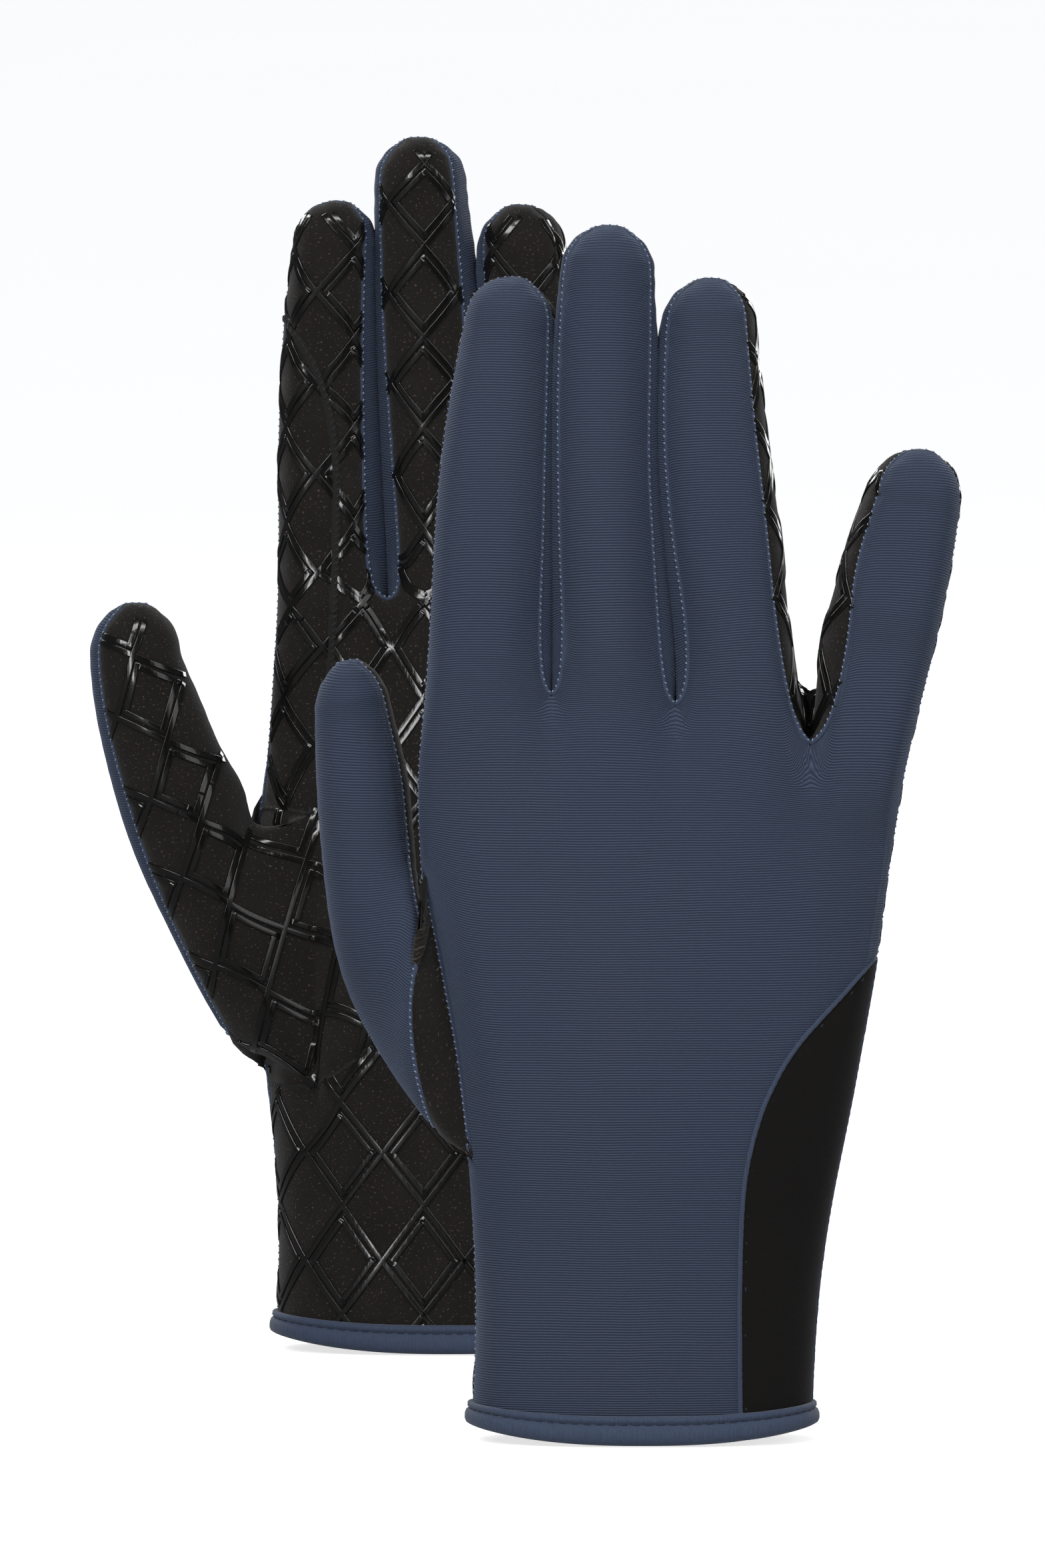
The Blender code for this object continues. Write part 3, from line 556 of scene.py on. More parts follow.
# lines on the skin
def chainEdges(edges):  # seam edges joined end to end, as lists of vertices
    around = {}
    for edge in edges:
        one, two = edge.verts
        around.setdefault(one, []).append(two)
        around.setdefault(two, []).append(one)
    used = set()
    chains = []
    ends = [vert for vert in around if len(around[vert]) != 2]
    for first in sorted(ends, key=lambda v: v.index) + sorted(around, key=lambda v: v.index):
        for second in around[first]:
            if frozenset((first, second)) in used:
                continue
            chain = [first, second]
            used.add(frozenset((first, second)))
            while len(around[chain[-1]]) == 2:
                ahead = [v for v in around[chain[-1]] if frozenset((chain[-1], v)) not in used]
                if not ahead:
                    break
                used.add(frozenset((chain[-1], ahead[0])))
                chain.append(ahead[0])
            chains.append(chain)
    return chains


def smoothLine(points, times=4):
    line = [p.copy() for p in points]
    for _ in range(times):
        inner = [(a + 2 * b + c) / 4 for a, b, c in zip(line, line[1:], line[2:])]
        line = [line[0]] + inner + [line[-1]]
    return line


def evenLine(points, normals, step):  # the same line with points a step apart
    spans = [(b - a).length for a, b in zip(points, points[1:])]
    total = sum(spans)
    count = max(int(round(total / step)), 2)
    places, facing = [], []
    k, passed = 0, 0.0
    for n in range(count + 1):
        want = total * n / count
        while k < len(spans) - 1 and passed + spans[k] < want:
            passed += spans[k]
            k += 1
        share = min(max((want - passed) / max(spans[k], 1e-9), 0.0), 1.0)
        places.append(points[k].lerp(points[k + 1], share))
        facing.append(normals[k].lerp(normals[k + 1], share).normalized())
    return places, facing


def seamEdges(mesh, layer, tags):
    found = {}
    for edge in mesh.edges:
        if len(edge.link_faces) != 2:
            continue
        one, two = sorted(tags[face[layer]] for face in edge.link_faces)
        cloths = {clothOf(one), clothOf(two)}
        if len(cloths) == 1 or all(cloth.startswith("fork") for cloth in cloths):
            continue
        navy = "navy_stretch" in (finishOfTag[one], finishOfTag[two])
        kind = "navy" if navy else "black"
        if "ulnar_panel" in cloths:
            kind = "piped"
        elif cloths == {"strip", "palm"}:
            kind = "thick"
        found.setdefault((kind, digitOfTag[one] or digitOfTag[two]), []).append(edge)
    return found


def roundCrotches(mesh, seams):  # the seams turn through the bottom of each finger gap in a round bend
    fingerSeams = [edge for (kind, digit), edges in seams.items() if digit in fingers for edge in edges]
    moved = []
    for chain in chainEdges(fingerSeams):
        if len(chain) < 12:
            continue
        smooth = smoothLine([vert.co for vert in chain], skinStyle["crotchRounds"])
        moved += [(vert, place - vert.co) for vert, place in zip(chain, smooth)]
    tree = KDTree(len(moved))
    for k, (vert, shift) in enumerate(moved):
        tree.insert(vert.co, k)
    tree.balance()
    shifts = []
    for vert in mesh.verts:
        near, k, away = tree.find(vert.co)
        if away < 6.0:
            shifts.append((vert, moved[k][1] * math.exp(-(away / 2.2) ** 2)))
    for vert, shift in shifts:
        vert.co += shift
    mesh.normal_update()


def sinkSeams(mesh, seams):  # the cloth dips and puckers beside every seam, and ripples a little everywhere
    style = skinStyle
    marks = []
    for (kind, digit), edges in sorted(seams.items(), key=str):
        for chain in chainEdges(edges):
            run = 0.0
            for a, b in zip(chain, chain[1:]):
                marks.append((a.co.copy(), run))
                run += (b.co - a.co).length
            marks.append((chain[-1].co.copy(), run))
    tree = KDTree(len(marks))
    for k, (place, run) in enumerate(marks):
        tree.insert(place, k)
    tree.balance()
    moves = []
    for vert in mesh.verts:
        near, k, away = tree.find(vert.co)
        dip = style["seamDip"] * max(0.0, 1 - away / style["dipReach"]) ** 2
        wave = math.sin(marks[k][1] * 2 * math.pi / style["puckerLength"] + 3 * noise.noise(vert.co / 9))
        pucker = style["pucker"] * wave * math.exp(-away / style["puckerReach"]) * min(away / 1.0, 1.0)
        ripple = style["rumple"] * noise.noise(vert.co / style["rumpleSize"])
        keep = min(max((vert.co.z - 2.0) / 10.0, 0.0), 1.0)
        moves.append((vert, -dip + pucker + ripple * keep))
    for vert, move in moves:
        vert.co += vert.normal * move
    mesh.normal_update()


# meshes from points and faces
def gloveOrigin(glove):
    low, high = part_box(glove["side"] + "_cuff_binding")
    middle = (glove["radial"][0][1] + glove["ulnar"][0][1]) / 2
    return Vector(((low.x + high.x) / 2 - middle * mm, (low.y + high.y) / 2, 0.0))


def toRow(glove, point):  # a point of the glove's own frame, in mm, to the row frame, in metres
    y = point.y if glove["palmSign"] < 0 else -point.y
    return glove["origin"] + Vector((point.x, y, point.z)) * mm


def turned(glove, normal):
    return Vector((normal.x, normal.y if glove["palmSign"] < 0 else -normal.y, normal.z))


def newPiece(name, glove, points, faces, material, normals=None, uvs=None):
    data = bpy.data.meshes.new(name)
    if glove["palmSign"] > 0:
        faces = [list(reversed(face)) for face in faces]
        uvs = [list(reversed(face)) for face in uvs] if uvs else None
    data.from_pydata([toRow(glove, p) for p in points], [], faces)
    if uvs:
        cloth = data.uv_layers.new(name="cloth")
        cloth.data.foreach_set("uv", [c for face in uvs for uv in face for c in uv])
    if normals is None:
        mesh = bmesh.new()
        mesh.from_mesh(data)
        bmesh.ops.recalc_face_normals(mesh, faces=mesh.faces[:])
        mesh.to_mesh(data)
        mesh.free()
    data.shade_smooth()
    if normals is not None:
        data.normals_split_custom_set_from_vertices([turned(glove, n) for n in normals])
    data.materials.append(material)
    piece = bpy.data.objects.new(name, data)
    bpy.context.scene.collection.objects.link(piece)
    return piece


def seat(piece, glove, digit, nodes=()):
    side = glove["side"]
    if digit:
        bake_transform(piece)
    else:
        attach(piece, side + "_hand")
    if nodes:
        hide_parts(*[side + "_" + node for node in nodes])
    return piece


def emptyStore():
    return {"points": [], "faces": []}


def seatStore(tail, store, finish, glove, digit, nodes=()):  # makes and seats a stored piece
    piece = newPiece(glove["side"] + "_" + tail, glove, store["points"], store["faces"], finishes[finish])
    return seat(piece, glove, digit, nodes)


def joinRings(store, here, there, size):
    for n in range(size):
        m = (n + 1) % size
        store["faces"].append([here + n, here + m, there + m, there + n])


def panelShell(mesh, layer, numbers, uvLayer, thick):  # outer sheet, inner sheet and the rim between them
    faces = [face for face in mesh.faces if face[layer] in numbers]
    inside = set(faces)
    place, order = {}, []
    for face in faces:
        for vert in face.verts:
            if vert not in place:
                place[vert] = len(order)
                order.append(vert)
    count = len(order)
    points = [vert.co.copy() for vert in order] + [vert.co - vert.normal * thick for vert in order]
    normals = [vert.normal.copy() for vert in order] + [-vert.normal for vert in order]
    polygons, uvs, area = [], [], 0.0
    for face in faces:
        corner = [(place[loop.vert], tuple(loop[uvLayer].uv)) for loop in face.loops]
        polygons.append([k for k, uv in corner])
        uvs.append([uv for k, uv in corner])
        polygons.append([count + k for k, uv in reversed(corner)])
        uvs.append([uv for k, uv in reversed(corner)])
        area += face.calc_area()
    for face in faces:
        for loop in face.loops:
            if any(other in inside for other in loop.edge.link_faces if other is not face):
                continue
            a, b = place[loop.vert], place[loop.link_loop_next.vert]
            ua, ub = tuple(loop[uvLayer].uv), tuple(loop.link_loop_next[uvLayer].uv)
            polygons.append([b, a, count + a, count + b])
            uvs.append([ub, ua, ua, ub])
    return points, normals, polygons, uvs, area


def sewPanels(glove, mesh, layer, tags, uvLayer):
    for node, covered, finish, digit in panels:
        numbers = [tags.index(tag) for tag in covered if tag in tags]
        points, normals, polygons, uvs, area = panelShell(mesh, layer, numbers, uvLayer, skinStyle["thick"])
        name = glove["side"] + "_" + node + "_cloth"
        piece = newPiece(name, glove, points, polygons, finishes[finish], normals, uvs)
        seat(piece, glove, digit, [node])


# raised lines and stitches
def sweep(store, line, facing, profile, swell=None):  # profile is (across, up) pairs, all round
    count = len(line)
    size = len(profile)
    first = len(store["points"])
    run = 0.0
    for k in range(count):
        along = (line[min(k + 1, count - 1)] - line[max(k - 1, 0)]).normalized()
        across = along.cross(facing[k]).normalized()
        up = across.cross(along)
        grow = swell(run) if swell else 1.0
        for a, h in profile:
            store["points"].append(line[k] + across * (a * grow) + up * (h * (grow if h > 0 else 1.0)))
        run += (line[k] - line[k - 1]).length if k else 0.0
    last = first + (count - 1) * size
    for here in range(first, last, size):
        joinRings(store, here, here + size, size)
    store["faces"].append([first + n for n in range(size)][::-1])
    store["faces"].append([last + n for n in range(size)])


def stitches(store, line, facing, style):  # a row of short threads lying along a line
    spans = [(b - a).length for a, b in zip(line, line[1:])]
    total = sum(spans)
    count = int(total / style["every"])
    k, passed = 0, 0.0
    for n in range(count):
        want = (n + 0.5) * total / count
        while k < len(spans) - 1 and passed + spans[k] < want:
            passed += spans[k]
            k += 1
        share = (want - passed) / max(spans[k], 1e-9)
        along = (line[k + 1] - line[k]).normalized()
        up = facing[k].lerp(facing[k + 1], share).normalized()
        across = along.cross(up).normalized()
        middle = line[k].lerp(line[k + 1], share) + across * style["aside"] + up * style["lift"]
        lean = (along + across * style["lean"]).normalized()
        wide = lean.cross(up).normalized()
        first = len(store["points"])
        half, thick = style["long"] / 2, style["thick"] / 2
        store["points"].append(middle - lean * half - up * thick * 0.8)
        for place, girth in ((-0.62, 0.8), (0.0, 1.0), (0.62, 0.8)):
            for turn in range(6):
                angle = turn * math.pi / 3
                out = wide * math.cos(angle) + up * math.sin(angle)
                store["points"].append(middle + lean * (half * place) + out * (thick * girth))
        store["points"].append(middle + lean * half - up * thick * 0.8)
        for turn in range(6):
            after = (turn + 1) % 6
            store["faces"].append([first, first + 1 + after, first + 1 + turn])
            for ring in (0, 6):
                a, b = first + 1 + ring + turn, first + 1 + ring + after
                store["faces"].append([a, b, b + 6, a + 6])
            store["faces"].append([first + 19, first + 13 + turn, first + 13 + after])


seamStyle = {
    "step": 0.8,
    "ridge": {  # width and height of each welt
        "navy": (1.0, 0.36), "black": (1.1, 0.40), "thick": (2.0, 0.80), "piped": (1.1, 0.60)},
    "bead": 0.14,  # how much the thread pinches the welt
    "navyThread": {"every": 1.3, "long": 0.62, "thick": 0.27, "aside": 0.12, "lift": 0.38, "lean": 0.9},
    "blackThread": {"every": 1.9, "long": 1.2, "thick": 0.30, "aside": 0.0, "lift": 0.32, "lean": 0.5},
    "thickThread": {"every": 1.3, "long": 1.5, "thick": 0.40, "aside": 0.2, "lift": 0.70, "lean": 1.15},
    "pipedThread": {"every": 1.75, "long": 1.25, "thick": 0.34, "aside": 1.15, "lift": 0.10, "lean": 0.12},
}


def weltProfile(width, height):
    half = width / 2
    return [(half, -0.30), (half * 0.92, height * 0.30), (half * 0.55, height * 0.84), (0.0, height),
            (-half * 0.55, height * 0.84), (-half * 0.92, height * 0.30), (-half, -0.30)]


seamKinds = {  # the cloth that each kind of seam goes with, and its thread
    "navy": ("navy_stretch", "threadPale"), "black": ("black_suede", "threadBlack"),
    "thick": ("black_suede", "threadBlack"), "piped": ("navy_stretch", "threadDark")}
weltFinish = {"navy_stretch": ("navy_welts", "seamNavy"), "black_suede": ("black_welts", "seamBlack")}


def sewSeams(glove, seams):
    for digit in [None] + digits:
        threads = {}
        welts = {}
        for kind, (colour, thread) in seamKinds.items():
            if (kind, digit) not in seams:
                continue
            width, height = seamStyle["ridge"][kind]
            every = seamStyle[kind + "Thread"]["every"]

            def pinch(run):
                return 1 - seamStyle["bead"] * (0.5 + 0.5 * math.cos(2 * math.pi * run / every))

            for chain in chainEdges(seams[(kind, digit)]):
                if len(chain) < 3:
                    continue
                places = smoothLine([vert.co for vert in chain])
                facing = [vert.normal.copy() for vert in chain]
                line, normals = evenLine(places, facing, seamStyle["step"])
                welt = welts.setdefault(colour, emptyStore())
                sweep(welt, line, normals, weltProfile(width, height), pinch)
                style = dict(seamStyle[kind + "Thread"])
                if kind == "piped" and (line[-1].z - line[0].z) > 0:
                    style["aside"] = -style["aside"]
                stitches(threads.setdefault(kind, emptyStore()), line, normals, style)
        owner = (digit or "hand") + "_"
        for colour, store in welts.items():
            tail, finish = weltFinish[colour]
            seatStore(owner + tail, store, finish, glove, digit)
        for kind, store in threads.items():
            colour, thread = seamKinds[kind]
            seatStore(owner + kind + "_stitches", store, thread, glove, digit)


# the raised grip print
printStyle = {
    "wide": 1.15, "high": 0.34, "sink": 0.16, "step": 0.7,
    "palmCell": (13.6, 17.4), "palmOffset": (-5.0, 13.2),  # the lattice's cell, and the middle of one cell
    "inset": 1.35,  # from a cell's edge to the diamond inside it
    "wristGrowth": (0.15, 60.0, 140.0),  # the cells grow this much from the fingers down to the wrist
    "thumbCell": (10.4, 12.2), "thumbAngles": (-23.0, 75.0), "thumbOffset": (-51.1, 111.3),
    "wallOffset": (0.0, 3.0),
    "box": ((-84.0, -9.0), (84.0, 249.0)), "cellsOut": 26,  # where the cells lie, and how many each way
    "steepest": 0.30,  # no print where the thumb or the strip turns away further than this
}


def latticePlace(u, v, grows):  # cloth coordinates to those of an even lattice
    if not grows:
        return Vector((u, v, 0))
    growth, low, high = printStyle["wristGrowth"]
    below = max(high - v, 0.0)
    rate = growth * min(below / (high - low), 1.0)
    squeezed = growth * min(below, high - low) ** 2 / 2 / (high - low) + growth * max(low - v, 0.0)
    middle = printStyle["palmOffset"][0]
    return Vector((middle + (u - middle) * (1 - rate), v + squeezed, 0))


def uvChart(mesh, layer, tags, uvLayer, wanted, grows=False, steepest=0.0):
    numbers = {tags.index(tag) for tag in wanted if tag in tags}
    flat, solid, facing, triangles = [], [], [], []
    for face in mesh.faces:
        if face[layer] not in numbers:
            continue
        corners = [(loop[uvLayer].uv, loop.vert) for loop in face.loops]
        for k in range(1, len(corners) - 1):
            triangle = (corners[0], corners[k], corners[k + 1])
            triangles.append([len(flat), len(flat) + 1, len(flat) + 2])
            flat += [latticePlace(uv.x, uv.y, grows) for uv, vert in triangle]
            solid += [vert.co for uv, vert in triangle]
            facing += [vert.normal for uv, vert in triangle]
    tree = BVHTree.FromPolygons(flat, triangles)
    return {"tree": tree, "flat": flat, "solid": solid, "facing": facing, "steepest": steepest}


def onSkin(chart, u, v):
    hit = chart["tree"].ray_cast(Vector((u, v, 5)), Vector((0, 0, -1)))
    if hit[0] is None:
        return None
    first = 3 * hit[2]
    a, b, c = chart["flat"][first:first + 3]
    area = (b - a).cross(c - a).z
    if abs(area) < 1e-9:
        return None
    p = Vector((u, v, 0))
    wb = (p - a).cross(c - a).z / area
    wc = (b - a).cross(p - a).z / area
    weights = (1 - wb - wc, wb, wc)
    place = sum((w * s for w, s in zip(weights, chart["solid"][first:first + 3])), Vector())
    facing = sum((w * s for w, s in zip(weights, chart["facing"][first:first + 3])), Vector()).normalized()
    return (place, facing) if abs(facing.y) >= chart["steepest"] and facing.z < 0.66 else None


def latticeLines(axisOne, axisTwo, middle):  # straight lines, and a smaller cell inside every second cell
    style = printStyle
    (left, bottom), (right, top) = style["box"]
    inside = cellShare(axisOne, axisTwo, style["inset"])
    far = style["cellsOut"]
    lines = []
    for k in range(-far, far + 1):
        for step, run in ((axisOne, axisTwo), (axisTwo, axisOne)):
            base = (middle[0] + (k + 0.5) * step[0], middle[1] + (k + 0.5) * step[1])
            lines.append([(base[0] + way * run[0], base[1] + way * run[1]) for way in (-far, far)])
    for i in range(-far, far + 1):
        for j in range(-far, far + 1):
            x = middle[0] + i * axisOne[0] + j * axisTwo[0]
            y = middle[1] + i * axisOne[1] + j * axisTwo[1]
            if (i + j) % 2 or not (left < x < right and bottom < y < top):
                continue
            corners = []
            for a, b in ((0.5, 0.5), (0.5, -0.5), (-0.5, -0.5), (-0.5, 0.5)):
                corners.append((x + inside * (a * axisOne[0] + b * axisTwo[0]),
                                y + inside * (a * axisOne[1] + b * axisTwo[1])))
            lines += [(corners[k], corners[(k + 1) % 4]) for k in range(4)]
    return lines


def clipLine(line, low, high):  # the part of a line inside the chart's box
    (ax, ay), (bx, by) = line
    t0, t1 = 0.0, 1.0
    for start, delta, lo, hi in ((ax, bx - ax, low[0], high[0]), (ay, by - ay, low[1], high[1])):
        if abs(delta) < 1e-9:
            if not lo <= start <= hi:
                return None
            continue
        one, two = (lo - start) / delta, (hi - start) / delta
        t0, t1 = max(t0, min(one, two)), min(t1, max(one, two))
    if t1 <= t0:
        return None
    return (ax + (bx - ax) * t0, ay + (by - ay) * t0), (ax + (bx - ax) * t1, ay + (by - ay) * t1)


def printProfile():
    half, high, sink = printStyle["wide"] / 2, printStyle["high"], -printStyle["sink"]
    return [(half, sink), (half * 0.97, high * 0.65), (half * 0.88, high * 0.97), (half * 0.72, high),
            (-half * 0.72, high), (-half * 0.88, high * 0.97), (-half * 0.97, high * 0.65), (-half, sink)]


def printChart(store, chart, lines):
    us = [p.x for p in chart["flat"]]
    vs = [p.y for p in chart["flat"]]
    low, high = (min(us), min(vs)), (max(us), max(vs))
    for whole in lines:
        line = clipLine(whole, low, high)
        if line is None:
            continue
        (ax, ay), (bx, by) = line
        length = math.hypot(bx - ax, by - ay)
        count = max(int(length / printStyle["step"]), 2)

        def at(t):
            return onSkin(chart, ax + (bx - ax) * t, ay + (by - ay) * t)

        def edge(inside, outside):  # walks to the rim of the chart
            for _ in range(5):
                middle = (inside + outside) / 2
                inside, outside = (middle, outside) if at(middle) else (inside, middle)
            return at(inside)

        run = []
        last = None
        for k in range(count + 2):
            t = k / count
            found = at(t) if k <= count else None
            if found:
                if not run and k:
                    run.append(edge(t, (k - 1) / count))
                run.append(found)
            elif run:
                run.append(edge((k - 1) / count, t))
                sweepRun(store, run)
                run = []


def sweepRun(store, run):  # leaves out the stretches where the cloth folds in on itself
    part = run[:1]
    for here in run[1:] + [None]:
        jump = (here[0] - part[-1][0]).length if here else 99.0
        if jump < 0.05:
            continue
        if jump < 3.2 * printStyle["step"]:
            part.append(here)
            continue
        if len(part) > 3:
            places, normals = zip(*part)
            sweep(store, places, normals, printProfile())
        part = [here]


def cellShare(axisOne, axisTwo, inset):  # how big the inset cell is against its own
    cross = abs(axisOne[0] * axisTwo[1] - axisOne[1] * axisTwo[0])
    gap = cross / max(math.hypot(*axisOne), math.hypot(*axisTwo))
    return 1 - 2 * inset / gap


def printGrip(glove, mesh, layer, tags, uvLayer):
    style = printStyle
    w, h = style["palmCell"]
    slants = (w / 2, h / 2), (w / 2, -h / 2)
    palmLines = latticeLines(*slants, style["palmOffset"])
    wallLines = latticeLines(*slants, style["wallOffset"])
    a, b = (math.radians(angle) for angle in style["thumbAngles"])
    across = (style["thumbCell"][0] * math.cos(a), style["thumbCell"][0] * math.sin(a))
    along = (style["thumbCell"][1] * math.cos(b), style["thumbCell"][1] * math.sin(b))
    thumbLines = latticeLines(across, along, style["thumbOffset"])
    jobs = [(None, ["hand_palm"], palmLines), (None, ["hand_strip"], palmLines),
            (None, ["thenar_panel", "thumb_root_palm"], thumbLines),
            ("thumb", ["thumb_palm"], thumbLines), ("index", ["index_strip"], palmLines),
            ("ring", ["ring_ulnar_wall"], wallLines), ("pinky", ["pinky_radial_wall"], wallLines)]
    jobs += [(finger, [finger + "_palm"], palmLines) for finger in fingers]
    for digit in [None] + digits:
        store = emptyStore()
        for owner, wanted, lines in jobs:
            if owner != digit:
                continue
            thumb = lines is thumbLines
            steepest = style["steepest"] if thumb or wanted == ["hand_strip"] else 0.0
            printChart(store, uvChart(mesh, layer, tags, uvLayer, wanted, not thumb, steepest), lines)
        if store["points"]:
            seatStore((digit or "hand") + "_grip_print", store, "gripPrint", glove, digit)


# the bound cuff
bindingStyle = {"ribEvery": 0.78, "ribHigh": 0.09, "columns": 4, "slant": 0.22, "narrowest": 0.0101,
                "thread": {"every": 2.3, "long": 1.7, "thick": 0.34, "aside": 0.0, "lift": 0.0, "lean": 0.0}}
bindingProfile = [  # out from the skin and up from the hem, from the inner edge round to the outer edge
    (-1.35, 4.7), (-1.75, 4.3), (-1.95, 3.0), (-1.92, 1.6), (-1.6, 0.6), (-0.9, 0.08), (-0.1, 0.0),
    (0.75, 0.10), (1.40, 0.62), (1.66, 1.5), (1.62, 2.5), (1.36, 3.35), (0.88, 3.86), (0.62, 4.04),
    (0.84, 4.24), (1.12, 4.62), (1.10, 5.12), (0.80, 5.52), (0.34, 5.66), (-0.2, 5.3)]


def hemRing(mesh):  # the open lower edge of the skin, once round
    border = [edge for edge in mesh.edges if len(edge.link_faces) == 1]
    chain = max(chainEdges(border), key=len)
    ring = [vert.co.copy() for vert in chain[:-1]]
    middle = sum(ring, Vector()) / len(ring)
    ring.sort(key=lambda p: math.atan2((p.y - middle.y) / 17, (p.x - middle.x) / 32))
    return ring


def bindCuff(glove, mesh):
    style = bindingStyle
    ring = hemRing(mesh)
    loop = smoothLine(ring + ring[:1], 2)
    length = sum((b - a).length for a, b in zip(loop, loop[1:]))
    count = int(length / style["ribEvery"]) * style["columns"]
    points, normals = evenLine(loop, [Vector((0, 0, 1))] * len(loop), length / count)
    points = points[:-1]
    store = emptyStore()
    groove = []
    grooveFacing = []
    size = len(bindingProfile)
    total = len(points)
    for k, place in enumerate(points):
        along = points[(k + 3) % total] - points[k - 3]
        out = Vector((along.y, -along.x, 0)).normalized()
        rise = place.z - handRows[0]
        for n, (offset, height) in enumerate(bindingProfile):
            phase = 2 * math.pi * (k / style["columns"]) + style["slant"] * height * 2 * math.pi
            rib = style["ribHigh"] * (0.5 + 0.5 * math.cos(phase))
            push = offset + (rib if offset > 0.2 else -rib)
            level = height + rise * (1 - 0.08 * height)
            store["points"].append(Vector((place.x + out.x * push, place.y + out.y * push, level)))
        if k % style["columns"] == 0:
            level = 4.04 + rise * 0.7
            groove.append(Vector((place.x + out.x * 0.82, place.y + out.y * 0.82, level)))
            grooveFacing.append(out.copy())
    for k in range(total):
        here, there = k * size, ((k + 1) % total) * size
        joinRings(store, here, there, size)
    binding = "navy_binding"
    tape = seatStore("cuff_binding_tape", store, binding, glove, None, ["cuff_binding"])
    groove.append(groove[0].copy())
    grooveFacing.append(grooveFacing[0].copy())
    thread = emptyStore()
    stitches(thread, groove, grooveFacing, style["thread"])
    seatStore("cuff_stitches", thread, "threadDark", glove, None)


elasticStyle = {"low": 57.0, "high": 64.0, "half": 24.0, "step": 0.4, "behind": 1.9, "thick": 0.5,
                "wave": 0.12, "waveLength": 1.6, "flat": (0.0101, 0.046), "cutShare": 0.72}


def sewElastic(glove, mesh, layer, tags, uvLayer):  # the shirring tape inside the palm at the wrist
    style = elasticStyle
    chart = uvChart(mesh, layer, tags, uvLayer, ["hand_palm"])
    near, far = style["behind"], style["behind"] + style["thick"]
    store = emptyStore()
    u = -style["half"]
    while u <= style["half"]:
        column = [onSkin(chart, u, v) for v in (style["low"], style["high"])]
        if all(column):
            wave = style["wave"] * math.cos(u * 2 * math.pi / style["waveLength"])
            for end, depth in ((0, near), (1, near), (1, far), (0, far)):
                place, facing = column[end]
                store["points"].append(place - facing * (depth + wave))
        u += style["step"]
    last = len(store["points"]) - 4
    for here in range(0, last, 4):
        joinRings(store, here, here + 4, 4)
    store["faces"] += [[3, 2, 1, 0], [last, last + 1, last + 2, last + 3]]
    piece = seatStore("wrist_elastic_tape", store, "elastic", glove, None, ["wrist_elastic"])


# finishes
def addNode(tree, kind, place, **values):
    node = tree.nodes.new(kind)
    node.location = place
    for key, value in values.items():
        if key.startswith("in"):
            node.inputs[int(key[2:])].default_value = value
        else:
            setattr(node, key, value)
    return node


def newGroup(name, inputs, outputs):
    group = bpy.data.node_groups.new(name, "ShaderNodeTree")
    for kind, label, value in inputs:
        socket = group.interface.new_socket(label, in_out="INPUT", socket_type=kind)
        if value is not None:
            socket.default_value = value
    for kind, label in outputs:
        group.interface.new_socket(label, in_out="OUTPUT", socket_type=kind)
    return group, addNode(group, "NodeGroupInput", (-900, 0)), addNode(group, "NodeGroupOutput", (900, 0))


def maths(tree, operation, a, b=None, c=None, place=(0, 0), clamp=False):
    node = addNode(tree, "ShaderNodeMath", place, operation=operation, use_clamp=clamp)
    for k, value in enumerate((a, b, c)):
        if value is None:
            continue
        if isinstance(value, (int, float)):
            node.inputs[k].default_value = value
        else:
            tree.links.new(value, node.inputs[k])
    return node.outputs[0]


def cloud(tree, cloth, place, scale, detail):  # soft noise over the cloth
    node = addNode(tree, "ShaderNodeTexNoise", place, noise_dimensions="2D")
    node.inputs["Detail"].default_value = detail
    tree.links.new(cloth, node.inputs["Vector"])
    if isinstance(scale, float):
        node.inputs["Scale"].default_value = scale
    else:
        tree.links.new(scale, node.inputs["Scale"])
    return node.outputs["Fac"]


def crossRibs():  # ribs that run across the cloth, with finer loops along each rib
    number, turn = "NodeSocketFloat", 2 * math.pi
    tree, given, out = newGroup(
        "crossRibs",
        [("NodeSocketVector", "Cloth", None), (number, "Rib Every", 0.65), (number, "Loop Every", 0.45),
         (number, "Drift", 0.5)],
        [(number, "Height"), (number, "Groove"), (number, "Tone")])
    cloth = given.outputs["Cloth"]
    parts = addNode(tree, "ShaderNodeSeparateXYZ", (-700, 200))
    tree.links.new(cloth, parts.inputs[0])
    drift = cloud(tree, cloth, (-700, -100), 0.05, 2.0)
    wander = maths(tree, "MULTIPLY", drift, given.outputs["Drift"])
    level = maths(tree, "ADD", parts.outputs["Y"], wander)
    ribs = maths(tree, "DIVIDE", level, given.outputs["Rib Every"])
    rib = maths(tree, "MULTIPLY_ADD", maths(tree, "SINE", maths(tree, "MULTIPLY", ribs, turn)), 0.5, 0.5)
    loops = maths(tree, "DIVIDE", parts.outputs["X"], given.outputs["Loop Every"])
    halfTurn = maths(tree, "MULTIPLY", maths(tree, "FLOOR", ribs), math.pi)
    loopPhase = maths(tree, "ADD", maths(tree, "MULTIPLY", loops, turn), halfTurn)
    loop = maths(tree, "MULTIPLY_ADD", maths(tree, "SINE", loopPhase), 0.5, 0.5)
    lump = maths(tree, "MULTIPLY_ADD", loop, 0.35, 0.65)
    height = maths(tree, "MULTIPLY", maths(tree, "POWER", rib, 0.8), lump)
    # low where the ribs rise; the navy finish uses it for roughness and to paint shade into the grooves
    groove = maths(tree, "SUBTRACT", 1.0, height, clamp=True)
    tone = cloud(tree, cloth, (-300, -300), 0.028, 5.0)
    for source, label in ((height, "Height"), (groove, "Groove"), (tone, "Tone")):
        tree.links.new(source, out.inputs[label])
    return tree


